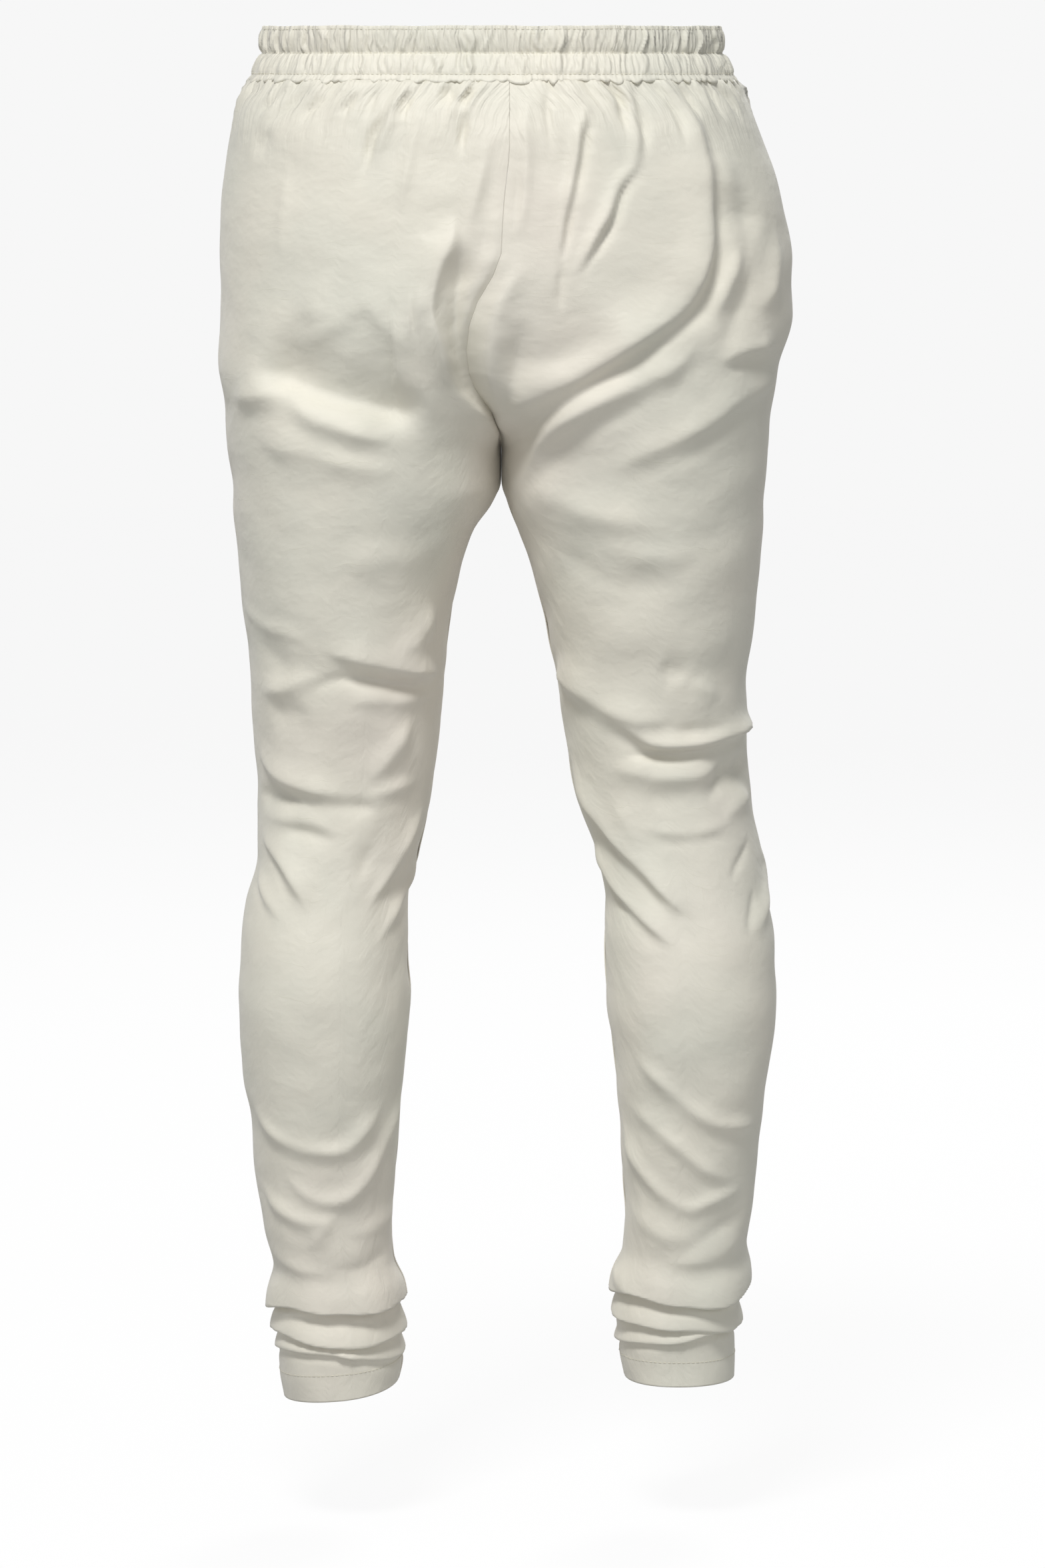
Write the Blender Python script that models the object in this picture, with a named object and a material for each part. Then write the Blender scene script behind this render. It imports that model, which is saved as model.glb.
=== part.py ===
"""Churidar pants, filled out as when worn: a shirred waistband and four leg panels.

Frame: metres, +Z up. The origin is the middle of the waistband, on its dividing stitch row.
The wearer faces -Y, so the seat is on the +Y side and the left leg is on the +X side.
Tables are in millimetres, written with +X for the left leg and -X for the right one.
"""

import math
from collections import namedtuple

import bmesh
import bpy
import numpy as np

MM = 0.001
COLLECTION = "churidar_pants"

# Driving sizes, mm
WALL = 1.6  # cloth of the leg panels
HEM_WALL = 2.2  # where the hem is turned up and the cloth is double
HEM_TURN = 20.0  # depth of that turned hem
SEAM_GAP = 0.3  # between the pieces that a seam joins
BAND_TOP = 19.0  # top rim of the waistband, above the stitch row
BAND_BOTTOM = -18.0  # seam between the waistband and the legs
CROTCH = -275.0  # where the seat seam, the fly seam and both inseams meet
CLEFT_TOP = -135.0  # above this the two halves share one smooth oval
CLEFT_SHAPE = 1.35  # how late the two halves part on the way down
HEM_LEVEL = -932.0  # mean height of the ankle hems
HEM_TILT_FROM = -860.0  # the rows start to tilt towards the hem here
SQUARENESS = 2.2  # exponent of the section ovals: 2 is an ellipse

SIDES = {"left": 1, "right": -1}
PANEL_COLUMNS = 10  # faces across one leg panel

# Rows of faces: from the height before, down to this one, in so many steps
Rows = namedtuple("Rows", "down_to steps")
ROW_PLAN = (
    Rows(-34, 2),
    Rows(-70, 1),
    Rows(-230, 7),
    Rows(CROTCH, 5),
    Rows(-315, 3),
    Rows(-400, 3),
    Rows(-620, 11),
    Rows(-840, 7),
    Rows(-915, 8),
    Rows(HEM_LEVEL, 1),
)

# Sections of the hips, seen from behind. seam is where the seat seam runs
Hips = namedtuple("Hips", "z seam left_out right_out back front")
HIPS = (
    Hips(-18, -12, 169, -169, 113, 113),
    Hips(-24, -12, 176, -176, 118, 116),
    Hips(-34, -12, 183, -182, 123, 118),
    Hips(-60, -12, 186, -189, 128, 120),
    Hips(-105, -8, 193, -204, 133, 121),
    Hips(-145, -6, 191, -210, 135, 119),
    Hips(-180, -5, 192, -209, 132, 116),
    Hips(-218, -5, 193, -200, 124, 113),
    Hips(-250, -5, 188, -195, 115, 110),
    Hips(CROTCH, -6, 185, -192, 109, 108),
)

# Sections of the legs, seen from behind: outer and inner edges, and depths from the side seam
Legs = namedtuple("Legs", "z left_out left_in right_in right_out back front")
LEGS = (
    Legs(CROTCH, 185, -5.5, -6.5, -192, 109, 108),
    Legs(-300, 182, -5, -7, -191, 105, 107),
    Legs(-312, 182, 0, -10, -190, 103, 106),
    Legs(-332, 180, 13, -18, -189, 99, 104),
    Legs(-368, 177, 25, -30, -186, 92, 101),
    Legs(-405, 173, 31, -39, -182, 85, 96),
    Legs(-442, 170, 35, -46, -178, 77, 91),
    Legs(-480, 168, 38, -51, -179, 70, 86),
    Legs(-520, 165, 44, -59, -181, 66, 80),
    Legs(-560, 166, 53, -73, -189, 68, 71),
    Legs(-592, 173, 60, -79, -193, 75, 61),
    Legs(-630, 177, 60, -79, -198, 84, 52),
    Legs(-660, 179, 58, -80, -199, 88, 47),
    Legs(-705, 175, 62, -86, -194, 84, 43),
    Legs(-761, 169, 67, -90, -187, 74, 41),
    Legs(-820, 162, 71, -93, -181, 65, 41),
    Legs(-850, 155, 69, -90, -177, 61, 43),
    Legs(-880, 152, 67, -88, -171, 58, 45),
    Legs(-915, 150, 67, -91, -169, 57, 46),
    Legs(HEM_LEVEL, 147, 69, -94, -168, 57, 46),
)

# Heights of each ankle hem on its outer, back, inner and front side
Hem = namedtuple("Hem", "outer back inner front")
HEMS = {"left": Hem(-941, -937, -930, -932), "right": Hem(-925, -926, -925, -923)}

# The churi: rings of spare length pushed up round each ankle. They swell slowly from above
# and fall away sharply below, between the given heights
Churi = namedtuple("Churi", "leg outer back inner front height above below")
CHURI = (
    Churi("left", -869, -875, -864, -868, 6.0, 22, 8),
    Churi("left", -889, -897, -890, -893, 3.5, 15, 6),
    Churi("left", -905, -911, -909, -906, 2.5, 12, 7),
    Churi("right", -853, -867, -861, -858, 6.0, 22, 8),
    Churi("right", -880, -885, -879, -878, 3.5, 14, 6),
    Churi("right", -892, -898, -902, -896, 2.5, 10, 7),
)

# The largest folds: routes as x, z points on the back or the front of the cloth
Fold = namedtuple("Fold", "leg face height width route")
FOLDS = (
    # seat and crotch, left
    Fold("left", "back", -7, 13, ((26, -121), (35, -163), (32, -188), (24, -216))),
    Fold("left", "back", 8, 15, ((64, -162), (40, -190), (22, -222), (6, -252))),
    Fold("left", "back", -5, 12, ((70, -180), (47, -212), (27, -238), (12, -262))),
    Fold("left", "back", 6, 13, ((129, -172), (160, -206), (182, -236))),
    Fold("left", "back", -4, 12, ((173, -237), (129, -244), (79, -258))),
    # seat and crotch, right
    Fold("right", "back", 8, 15, ((-145, -101), (-136, -160), (-84, -205), (-42, -232), (-14, -256))),
    Fold("right", "back", -7, 12, ((-130, -186), (-100, -203), (-62, -228), (-25, -256))),
    Fold("right", "back", 4, 16, ((-190, -203), (-172, -232), (-142, -248), (-112, -254))),
    Fold("right", "back", -5, 12, ((-169, -126), (-160, -165), (-150, -200), (-186, -197))),
    # knees
    Fold("left", "back", 6, 11, ((173, -381), (157, -388), (118, -400))),
    Fold("left", "back", 8, 11, ((123, -421), (91, -418), (35, -426))),
    Fold("left", "back", -6, 10, ((128, -436), (90, -433), (48, -438))),
    Fold("left", "back", 8, 12, ((166, -460), (158, -486), (120, -504), (90, -499), (61, -476))),
    Fold("left", "back", -6, 10, ((163, -513), (120, -518), (76, -515))),
    Fold("left", "back", 6, 11, ((162, -534), (138, -561), (123, -589))),
    Fold("left", "back", 6, 11, ((45, -495), (64, -545), (86, -600))),
    Fold("right", "back", 7, 12, ((-48, -427), (-78, -442), (-136, -451))),
    Fold("right", "back", 9, 11, ((-110, -465), (-150, -467), (-184, -463))),
    Fold("right", "back", -7, 10, ((-92, -478), (-122, -482), (-155, -480))),
    Fold("right", "back", 7, 12, ((-64, -486), (-74, -520), (-92, -552), (-131, -586))),
    Fold("right", "back", 6, 11, ((-180, -541), (-192, -569), (-178, -603))),
    # the U folds under the calves
    Fold("left", "back", 5, 10, ((165, -736), (136, -757), (104, -760), (77, -726))),
    Fold("left", "back", 5, 10, ((161, -789), (133, -807), (104, -800), (70, -752))),
    Fold("right", "back", 5, 10, ((-100, -697), (-146, -736), (-180, -745))),
    Fold("right", "back", 5, 10, ((-91, -745), (-109, -782), (-140, -800), (-173, -792))),
    # the front, which is plainer: pulls from the crotch, bent knees, slack above the ankles
    Fold("left", "front", 6, 14, ((8, -250), (50, -225), (110, -205))),
    Fold("right", "front", 6, 14, ((-18, -252), (-64, -228), (-122, -215))),
    Fold("left", "front", 5, 13, ((14, -300), (60, -285), (120, -275))),
    Fold("right", "front", 5, 13, ((-26, -305), (-70, -286), (-130, -282))),
    Fold("left", "front", 5, 12, ((50, -520), (95, -545), (150, -528))),
    Fold("left", "front", 5, 12, ((60, -580), (110, -598), (160, -572))),
    Fold("right", "front", 5, 12, ((-70, -528), (-115, -550), (-168, -530))),
    Fold("right", "front", 5, 12, ((-85, -590), (-130, -606), (-180, -582))),
    Fold("left", "front", 5, 11, ((80, -775), (115, -795), (155, -770))),
    Fold("right", "front", 5, 11, ((-100, -760), (-135, -786), (-175, -768))),
)

# Gathers below the waistband: small pleats that fade on the way down
GATHER_HEIGHT = 2.2
GATHER_FADE = 60.0
BAND_GATHERS = 30  # around the whole band
BAND_GATHER_HEIGHT = 0.9

# Profile of the waistband wall: how far out from the seam line, and how high
Profile = namedtuple("Profile", "out z gathered")
BAND_PROFILE = (
    Profile(-9.0, BAND_TOP, 0.6),
    Profile(-6.5, 15.0, 1.0),
    Profile(-6.5, 4.0, 1.0),
    Profile(-8.5, 0.0, 0.5),
    Profile(-4.5, -4.0, 1.0),
    Profile(-1.0, -13.0, 1.0),
    Profile(1.6, BAND_BOTTOM, 0.8),
    Profile(-1.6, BAND_BOTTOM, 0.0),
    Profile(-6.0, -8.0, 0.0),
    Profile(-11.5, 1.0, 0.0),
    Profile(-11.5, BAND_TOP, 0.0),
)

Finish = namedtuple("Finish", "name colour roughness")
BAND_FINISH = Finish("cream_cotton_shirred", (0.80, 0.77, 0.66), 0.62)
LEG_FINISH = Finish("cream_cotton_satin", (0.79, 0.77, 0.67), 0.5)


def clear_scene():
    for obj in list(bpy.data.objects):
        bpy.data.objects.remove(obj, do_unlink=True)


def smooth_step(value):
    """0 below 0, 1 above 1, and an easy curve between."""
    share = np.clip(value, 0.0, 1.0)
    return share * share * (3 - 2 * share)


def column(table, name):
    return np.array([getattr(row, name) for row in table], float)


def curve_through(table, name, z):
    """One column of a table of sections at height z, as a smooth curve without overshoot."""
    depth = -column(table, "z")
    values = column(table, name)
    slopes = np.diff(values) / np.diff(depth)
    tangents = np.zeros_like(values)
    same_way = slopes[:-1] * slopes[1:] > 0
    inner = 2 * slopes[:-1] * slopes[1:] / np.where(same_way, slopes[:-1] + slopes[1:], 1)
    tangents[1:-1] = np.where(same_way, inner, 0)
    tangents[0] = slopes[0]
    tangents[-1] = slopes[-1]
    at = np.clip(-z, depth[0], depth[-1])
    i = int(np.clip(np.searchsorted(depth, at) - 1, 0, len(slopes) - 1))
    step = depth[i + 1] - depth[i]
    t = (at - depth[i]) / step
    return (
        (2 * t**3 - 3 * t**2 + 1) * values[i]
        + (t**3 - 2 * t**2 + t) * step * tangents[i]
        + (3 * t**2 - 2 * t**3) * values[i + 1]
        + (t**3 - t**2) * step * tangents[i + 1]
    )


class Section:
    """The oval of one leg at height z, and the turns at which the seat and fly seams cut it."""

    def __init__(self, leg, z):
        self.side = SIDES[leg]
        self.z = z
        self.whole = z <= CROTCH
        if self.whole:
            out = curve_through(LEGS, f"{leg}_out", z)
            inner = curve_through(LEGS, f"{leg}_in", z)
            back = curve_through(LEGS, "back", z)
            front = curve_through(LEGS, "front", z)
            self.middle = inner
            cleft = 1.0
        else:
            out = curve_through(HIPS, f"{leg}_out", z)
            back = curve_through(HIPS, "back", z)
            front = curve_through(HIPS, "front", z)
            self.middle = curve_through(HIPS, "seam", z)
            share = np.clip((CLEFT_TOP - z) / (CLEFT_TOP - CROTCH), 0, 1)
            cleft = share**CLEFT_SHAPE
        reach = abs(out - self.middle)
        self.half_width = reach / (1 + cleft)
        self.centre_x = out - self.side * self.half_width
        self.centre_y = (back - front) / 2
        self.half_depth = (back + front) / 2
        cut = min(cleft, 1.0)
        self.end = math.atan2((1 - cut**SQUARENESS) ** (1 / SQUARENESS), -cut)

    def point(self, turn):
        """x, y at a turn: 0 is the side seam, positive turns go over the back."""
        c, s = math.cos(turn), math.sin(turn)
        r = (abs(c) ** SQUARENESS + abs(s) ** SQUARENESS) ** (-1 / SQUARENESS)
        x = self.centre_x + self.side * self.half_width * r * c
        return x, self.centre_y + self.half_depth * r * s

    def turn_at(self, x, face):
        """The turn at which the back or front of the oval is seen at x."""
        cut = np.clip(self.side * (x - self.centre_x) / self.half_width, -1, 1)
        turn = math.atan2((1 - abs(cut) ** SQUARENESS) ** (1 / SQUARENESS), cut)
        return turn if face == "back" else -turn


def row_heights():
    heights = [BAND_BOTTOM - SEAM_GAP]
    for rows in ROW_PLAN:
        start = heights[-1]
        heights += [start + (rows.down_to - start) * n / rows.steps for n in range(1, rows.steps + 1)]
    return heights


def ringed(row, turn):
    """A height that varies round the leg: outer at turn 0, back, inner, front."""
    over = math.sin(turn)
    along = math.cos(turn)
    across = row.outer if along > 0 else row.inner
    facing = row.back if over > 0 else row.front
    return across * along**2 + facing * over**2


def churi_height(leg, turn, z):
    """How far the rings of spare length stand out at a place on the ankle."""
    total = 0.0
    for ring in CHURI:
        if ring.leg != leg:
            continue
        above = z - ringed(ring, turn)
        share = 1 - above / ring.above if above > 0 else 1 + above / ring.below
        total = max(total, ring.height * float(smooth_step(share)))
    return total


def route_on_cloth(section_of, fold):
    """The route of a fold as points (distance round the leg from the side seam, z)."""
    points = []
    for x, z in fold.route:
        section = section_of(z)
        girth = (section.half_width + section.half_depth) / 2
        points.append((section.turn_at(x, fold.face) * girth, z))
    return np.array(points)


def distance_to(route, at):
    """Shortest distance from a place to a route of straight runs."""
    starts, ends = route[:-1], route[1:]
    runs = ends - starts
    share = ((at - starts) * runs).sum(axis=1) / (runs * runs).sum(axis=1)
    nearest = starts + runs * np.clip(share, 0, 1)[:, None]
    return float(np.hypot(*(nearest - at).T).min())


def fold_height(routes, at):
    """Sum of the folds near a place: each is a soft ridge, or a trough where it is negative."""
    total = 0.0
    for fold, route in routes:
        away = distance_to(route, at) / fold.width
        total += fold.height * math.exp(-away * away)
    return total


def frames(points, side, closed):
    """Unit normals out of the leg and unit tangents round it, one pair where the inseam closes."""
    across = np.gradient(points, axis=1)
    normals = np.cross(np.gradient(points, axis=0), across) * side
    for vectors in (normals, across):
        vectors /= np.linalg.norm(vectors, axis=2, keepdims=True)
        shared = vectors[closed, 0] + vectors[closed, -1]
        vectors[closed, 0] = vectors[closed, -1] = shared
        vectors /= np.linalg.norm(vectors, axis=2, keepdims=True)
    return normals, across


def leg_surface(leg):
    """Outer points of a whole leg, and the section of each of its rows.

    Columns run from the front middle edge, over the side seam, to the back middle edge.
    """
    side = SIDES[leg]
    heights = row_heights()
    turns = np.linspace(-1, 1, 2 * PANEL_COLUMNS + 1)
    routes = [
        (fold, route_on_cloth(lambda z: Section(leg, z), fold)) for fold in FOLDS if fold.leg == leg
    ]
    base = np.zeros((len(heights), len(turns), 3))
    lift = np.zeros(base.shape[:2])
    sections = [Section(leg, z) for z in heights]
    for i, section in enumerate(sections):
        girth = (section.half_width + section.half_depth) / 2
        tilt = float(smooth_step((HEM_TILT_FROM - section.z) / (HEM_TILT_FROM - HEM_LEVEL)))
        fade = math.exp((section.z - BAND_BOTTOM) / GATHER_FADE)
        at_waist = float(smooth_step((BAND_BOTTOM - section.z) / 15))
        for j, share in enumerate(turns):
            turn = share * section.end
            x, y = section.point(turn)
            z = section.z + tilt * (ringed(HEMS[leg], turn) - HEM_LEVEL)
            base[i, j] = x, y, z
            folds = fold_height(routes, np.array([turn * girth, z]))
            inside_edge = 1.0 if section.whole else float(smooth_step((1 - abs(share)) * 5))
            gathers = GATHER_HEIGHT * fade * at_waist * (1 if j % 2 else -1) * inside_edge
            lift[i, j] = inside_edge * folds + gathers + churi_height(leg, turn, z)
    closed = np.array([section.whole for section in sections])
    normals, _ = frames(base, side, closed)
    points = base + normals * lift[..., None]
    keep_to_side(points, sections, side)
    return points, sections


def keep_to_side(points, sections, side):
    """Stops the cloth of one leg at the middle, where the other leg begins."""
    for row, section in zip(points, sections):
        middle = section.middle
        if side * (row[:, 0] - middle).min() < 0 or not section.whole:
            row[:, 0] = middle + side * np.maximum(side * (row[:, 0] - middle), 0)


def wall_thickness(z):
    """The cloth, doubled in the turned hem."""
    in_hem = smooth_step((HEM_LEVEL + HEM_TURN - z) / 4)
    return WALL + (HEM_WALL - WALL) * in_hem


def panel_faces(outer, inner):
    """Closed wall between two grids: outside, inside and the four edges."""
    rows, columns = outer.shape[:2]
    grid = np.arange(rows * columns).reshape(rows, columns)
    under = grid + rows * columns
    faces = []
    for i in range(rows - 1):
        for j in range(columns - 1):
            a, b, c, d = grid[i, j], grid[i + 1, j], grid[i + 1, j + 1], grid[i, j + 1]
            faces.append((a, b, c, d))
            a, b, c, d = under[i, j], under[i, j + 1], under[i + 1, j + 1], under[i + 1, j]
            faces.append((a, b, c, d))
    rim = np.concatenate([grid[0, :], grid[1:, -1], grid[-1, -2::-1], grid[-2:0:-1, 0]])
    for a, b in zip(rim, np.roll(rim, -1)):
        # The diagonal always runs the same way, so that two edges along one seam match.
        inner_a, inner_b = a + rows * columns, b + rows * columns
        if a < b:
            faces += [(a, b, inner_b), (a, inner_b, inner_a)]
        else:
            faces += [(a, b, inner_a), (b, inner_b, inner_a)]
    return np.concatenate([outer.reshape(-1, 3), inner.reshape(-1, 3)]), faces


def add_object(name, points, faces, material, collection):
    mesh = bpy.data.meshes.new(name)
    mesh.from_pydata([tuple(point * MM) for point in points], [], [tuple(map(int, f)) for f in faces])
    shape = bmesh.new()
    shape.from_mesh(mesh)
    bmesh.ops.recalc_face_normals(shape, faces=shape.faces)
    shape.to_mesh(mesh)
    shape.free()
    mesh.materials.append(material)
    obj = bpy.data.objects.new(name, mesh)
    collection.objects.link(obj)
    return obj


def fabric(finish):
    material = bpy.data.materials.new(finish.name)
    material.use_nodes = True
    shader = material.node_tree.nodes["Principled BSDF"]
    shader.inputs["Base Color"].default_value = (*finish.colour, 1.0)
    shader.inputs["Roughness"].default_value = finish.roughness
    shader.inputs["Metallic"].default_value = 0.0
    return material


def leg_panels(leg, material, collection):
    """The back and front panels of one leg, parted at the side seam, the inseam and the middle."""
    side = SIDES[leg]
    points, sections = leg_surface(leg)
    closed = np.array([section.whole for section in sections])
    normals, tangents = frames(points, side, closed)
    closed = closed[:, None]
    middles = np.array([section.middle for section in sections])[:, None]
    half_gap = SEAM_GAP / 2
    to_side = np.array([side, 0.0, 0.0])
    span = {"back": slice(PANEL_COLUMNS, None), "front": slice(0, PANEL_COLUMNS + 1)}
    for face, columns in span.items():
        into = 1 if face == "back" else -1
        outer = points[:, columns].copy()
        panel_normals = normals[:, columns]
        seam = 0 if face == "back" else -1
        inseam = -1 - seam
        outer[:, seam] += tangents[:, columns][:, seam] * into * half_gap
        along = tangents[:, columns][:, inseam] * -into * half_gap
        outer[:, inseam] += np.where(closed, along, to_side * half_gap)
        inner = outer - panel_normals * wall_thickness(outer[..., 2])[..., None]
        for grid in (outer, inner):
            beyond = side * (grid[..., 0] - middles) - half_gap
            grid[..., 0] += side * np.where(closed, 0, np.maximum(-beyond, 0))
        corners, faces = panel_faces(outer, inner)
        add_object(f"{leg}_leg_{face}", corners, faces, material, collection)


def waistband(material, collection):
    """One shirred strip sewn to a ring, with two elastic channels and a small lip over the seam."""
    sections = {leg: Section(leg, BAND_BOTTOM) for leg in SIDES}
    count = 2 * BAND_GATHERS
    points = []
    for n in range(count):
        angle = 2 * math.pi * (n + 0.5) / count
        leg = "left" if math.sin(angle) > 0 else "right"
        section = sections[leg]
        turn = math.pi / 2 - angle if leg == "left" else angle - 3 * math.pi / 2
        x, y = section.point(turn)
        x2, y2 = section.point(turn + 0.01)
        away = np.array([y2 - y, x - x2]) * section.side
        away /= np.linalg.norm(away)
        gather = BAND_GATHER_HEIGHT if n % 2 else -BAND_GATHER_HEIGHT
        for spot in BAND_PROFILE:
            out = spot.out + gather * spot.gathered
            points.append((x + away[0] * out, y + away[1] * out, spot.z))
    size = len(BAND_PROFILE)
    faces = []
    for n in range(count):
        ahead = (n + 1) % count
        for m in range(size):
            k = (m + 1) % size
            faces.append((n * size + m, n * size + k, ahead * size + k, ahead * size + m))
    add_object("waistband", np.array(points), faces, material, collection)


def main():
    clear_scene()
    collection = bpy.data.collections.new(COLLECTION)
    bpy.context.scene.collection.children.link(collection)
    waistband(fabric(BAND_FINISH), collection)
    leg_material = fabric(LEG_FINISH)
    for leg in SIDES:
        leg_panels(leg, leg_material, collection)


main()
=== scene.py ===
"""Churidar pants as they hang when worn: a shirred waistband, four leg panels, their stitches and
a studio."""

import math
from collections import namedtuple

import bpy
import numpy as np
from bpy.props import FloatProperty, FloatVectorProperty, IntProperty, PointerProperty
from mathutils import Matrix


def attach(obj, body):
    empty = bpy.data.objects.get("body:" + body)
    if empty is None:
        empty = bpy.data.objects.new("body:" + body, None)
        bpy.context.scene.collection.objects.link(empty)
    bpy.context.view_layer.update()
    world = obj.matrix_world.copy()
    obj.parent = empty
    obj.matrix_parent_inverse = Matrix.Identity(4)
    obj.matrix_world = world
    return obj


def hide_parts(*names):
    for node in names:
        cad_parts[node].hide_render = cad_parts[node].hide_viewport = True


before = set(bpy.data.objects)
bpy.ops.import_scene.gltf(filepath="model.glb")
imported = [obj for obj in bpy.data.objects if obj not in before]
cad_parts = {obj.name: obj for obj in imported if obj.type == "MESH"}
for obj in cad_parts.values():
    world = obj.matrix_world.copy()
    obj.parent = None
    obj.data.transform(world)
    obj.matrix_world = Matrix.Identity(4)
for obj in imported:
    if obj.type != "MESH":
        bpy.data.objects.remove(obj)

bl_info = {
    "name": "Churidar pants",
    "version": (1, 0, 0),
    "blender": (4, 5, 0),
    "location": "View3D > Sidebar > Churidar",
    "description": "Builds worn churidar pants with their folds, gathers, stitches and cloth",
    "category": "Add Mesh",
}

MM = 0.001  # the tables and grids are in mm, and the finished meshes in metres
SIDES = {"left": 1, "right": -1}  # the way that x grows from the middle of the garment outwards

# Heights on the garment, mm above the dividing stitch row of the waistband
BAND_BOTTOM = -18.0
CLEFT_TOP = -135.0
CROTCH = -275.0
HEM_TILT_FROM = -860.0
HEM_LEVEL = -932.0

HEM_TURN = 20.0  # height of the turned hem, mm
SEAM_GAP = 0.1  # between two panels that are sewn together, mm
SQUARENESS = 2.2  # power of the ovals: 2 is an ellipse, and more is squarer
CLEFT_SHAPE = 2.2  # the higher this power, the longer the legs stay together below CLEFT_TOP

# Sections of the hips: the seat seam, the outer edges, and depths from the side seams
Hips = namedtuple("Hips", "z seam left_out right_out back front")
HIPS = (
    Hips(-18, -12, 169, -169, 113, 113),
    Hips(-24, -12, 172, -172, 116, 115),
    Hips(-34, -12, 177, -178, 121, 118),
    Hips(-60, -12, 184, -188, 128, 120),
    Hips(-105, -8, 188.5, -202.5, 133, 121),
    Hips(-145, -6, 190, -208.5, 135, 119),
    Hips(-180, -5, 189.5, -209, 132, 116),
    Hips(-218, -5, 191, -199, 124, 113),
    Hips(-250, -5, 187, -194.5, 115, 110),
    Hips(CROTCH, -6, 185, -192, 109, 108),
)

# Sections of the legs: outer and inner edges, and depths from the side seam
Legs = namedtuple("Legs", "z left_out left_in right_in right_out back front")
LEGS = (
    Legs(CROTCH, 185, -6, -6, -192, 109, 108),
    Legs(-300, 182, -5.2, -6.8, -191, 105, 107),
    Legs(-312, 182, 0, -10, -190, 103, 106),
    Legs(-332, 180, 13, -18, -189, 99, 104),
    Legs(-368, 177, 25, -30, -186, 92, 101),
    Legs(-405, 173, 31, -39, -182, 85, 96),
    Legs(-442, 170, 35, -46, -178, 77, 91),
    Legs(-480, 168, 38, -51, -179, 70, 86),
    Legs(-520, 165, 44, -59, -181, 66, 80),
    Legs(-560, 166, 53, -73, -189, 68, 71),
    Legs(-592, 173, 60, -79, -193, 75, 61),
    Legs(-630, 177, 60, -79, -198, 84, 52),
    Legs(-660, 179, 58, -80, -199, 88, 47),
    Legs(-705, 175, 62, -86, -194, 84, 43),
    Legs(-761, 169, 67, -90, -187, 74, 41),
    Legs(-820, 162, 71, -93, -181, 65, 41),
    Legs(-850, 155, 69, -90, -177, 61, 43),
    Legs(-880, 152.5, 66, -87, -172, 58, 45),
    Legs(-915, 151.5, 64, -89.5, -171, 57, 46),
    Legs(HEM_LEVEL, 148, 67, -92.5, -169.5, 57, 46),
)

# How far the seat seam is dragged towards the left half, where the right half laps over it
SeamPull = namedtuple("SeamPull", "z across")
SEAM_PULL = (
    SeamPull(-136, 0),
    SeamPull(-151, 5),
    SeamPull(-169, 15),
    SeamPull(-185, 20.5),
    SeamPull(-203, 22.5),
    SeamPull(-218, 21),
    SeamPull(-229, 17),
    SeamPull(-247, 5),
    SeamPull(-262, 0),
)
SEAM_PULL_WIDTH = 42.0  # distance from the seam over which the drag fades, mm

# Heights of each ankle hem on its outer, back, inner and front side
Hem = namedtuple("Hem", "outer back inner front")
HEMS = {"left": Hem(-943, -940, -932, -933), "right": Hem(-929, -930, -929, -927)}

# Rows of the cloth grid: from the height before, down to this one, and how far apart
Rows = namedtuple("Rows", "down_to apart")
ROW_PLAN = (
    Rows(-60, 2.8),
    Rows(-130, 3.3),
    Rows(-300, 2.8),
    Rows(-405, 3.9),
    Rows(-615, 2.3),
    Rows(-700, 4.5),
    Rows(-840, 2.8),
    Rows(HEM_LEVEL, 1.25),
)
FORK_TURNS = np.arange(0.45, 0.07, -0.04)  # how short of the inseam the fork's rows end, radians

# How the columns are squeezed towards the middle seams where the legs are still together
SQUEEZE_SHARE = 0.85
SQUEEZE_MOST = 40
LEAST_TURN = 1e-3

# The churi: rings of spare length pushed up round each ankle. Each swells from above its lip, hangs
# over it and is tucked in below. The heights of a lip go round from the outer side over the back
Churi = namedtuple("Churi", "leg out above below hang lips")
CHURI = (
    Churi("left", 6.5, 24, 4.5, 5.5, (-872, -870, -873, -870, -866, -868, -872, -869)),
    Churi("left", 4.6, 13, 4.2, 4.4, (-889, -892, -897, -895, -889, -890, -894, -891)),
    Churi("left", 2.4, 9, 4.0, 2.2, (-905, -903, -905, -910, -907, -905, -909, -906)),
    Churi("right", 6.5, 24, 4.5, 5.5, (-854, -866, -867, -860, -860, -858, -863, -856)),
    Churi("right", 4.4, 12, 4.0, 4.2, (-884, -886, -885, -881, -878, -879, -883, -881)),
    Churi("right", 2.8, 8, 3.6, 2.8, (-891, -889, -895, -897, -900, -897, -893, -895)),
)

CHURI_SWELL_POWER = 1.15
CHURI_TUCK = 0.8  # depth in mm, and its place and width as shares of below
CHURI_TUCK_PLACE = 1.5
CHURI_TUCK_WIDTH = 0.7
CHURI_TUCK_UNDER = 2  # the cloth is tucked in only where the rings are lower than this, mm
CHURI_HANG_ABOVE = 5.0  # how far above and below the lip the cloth hangs with it, mm
CHURI_HANG_BELOW = 2.6

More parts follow.
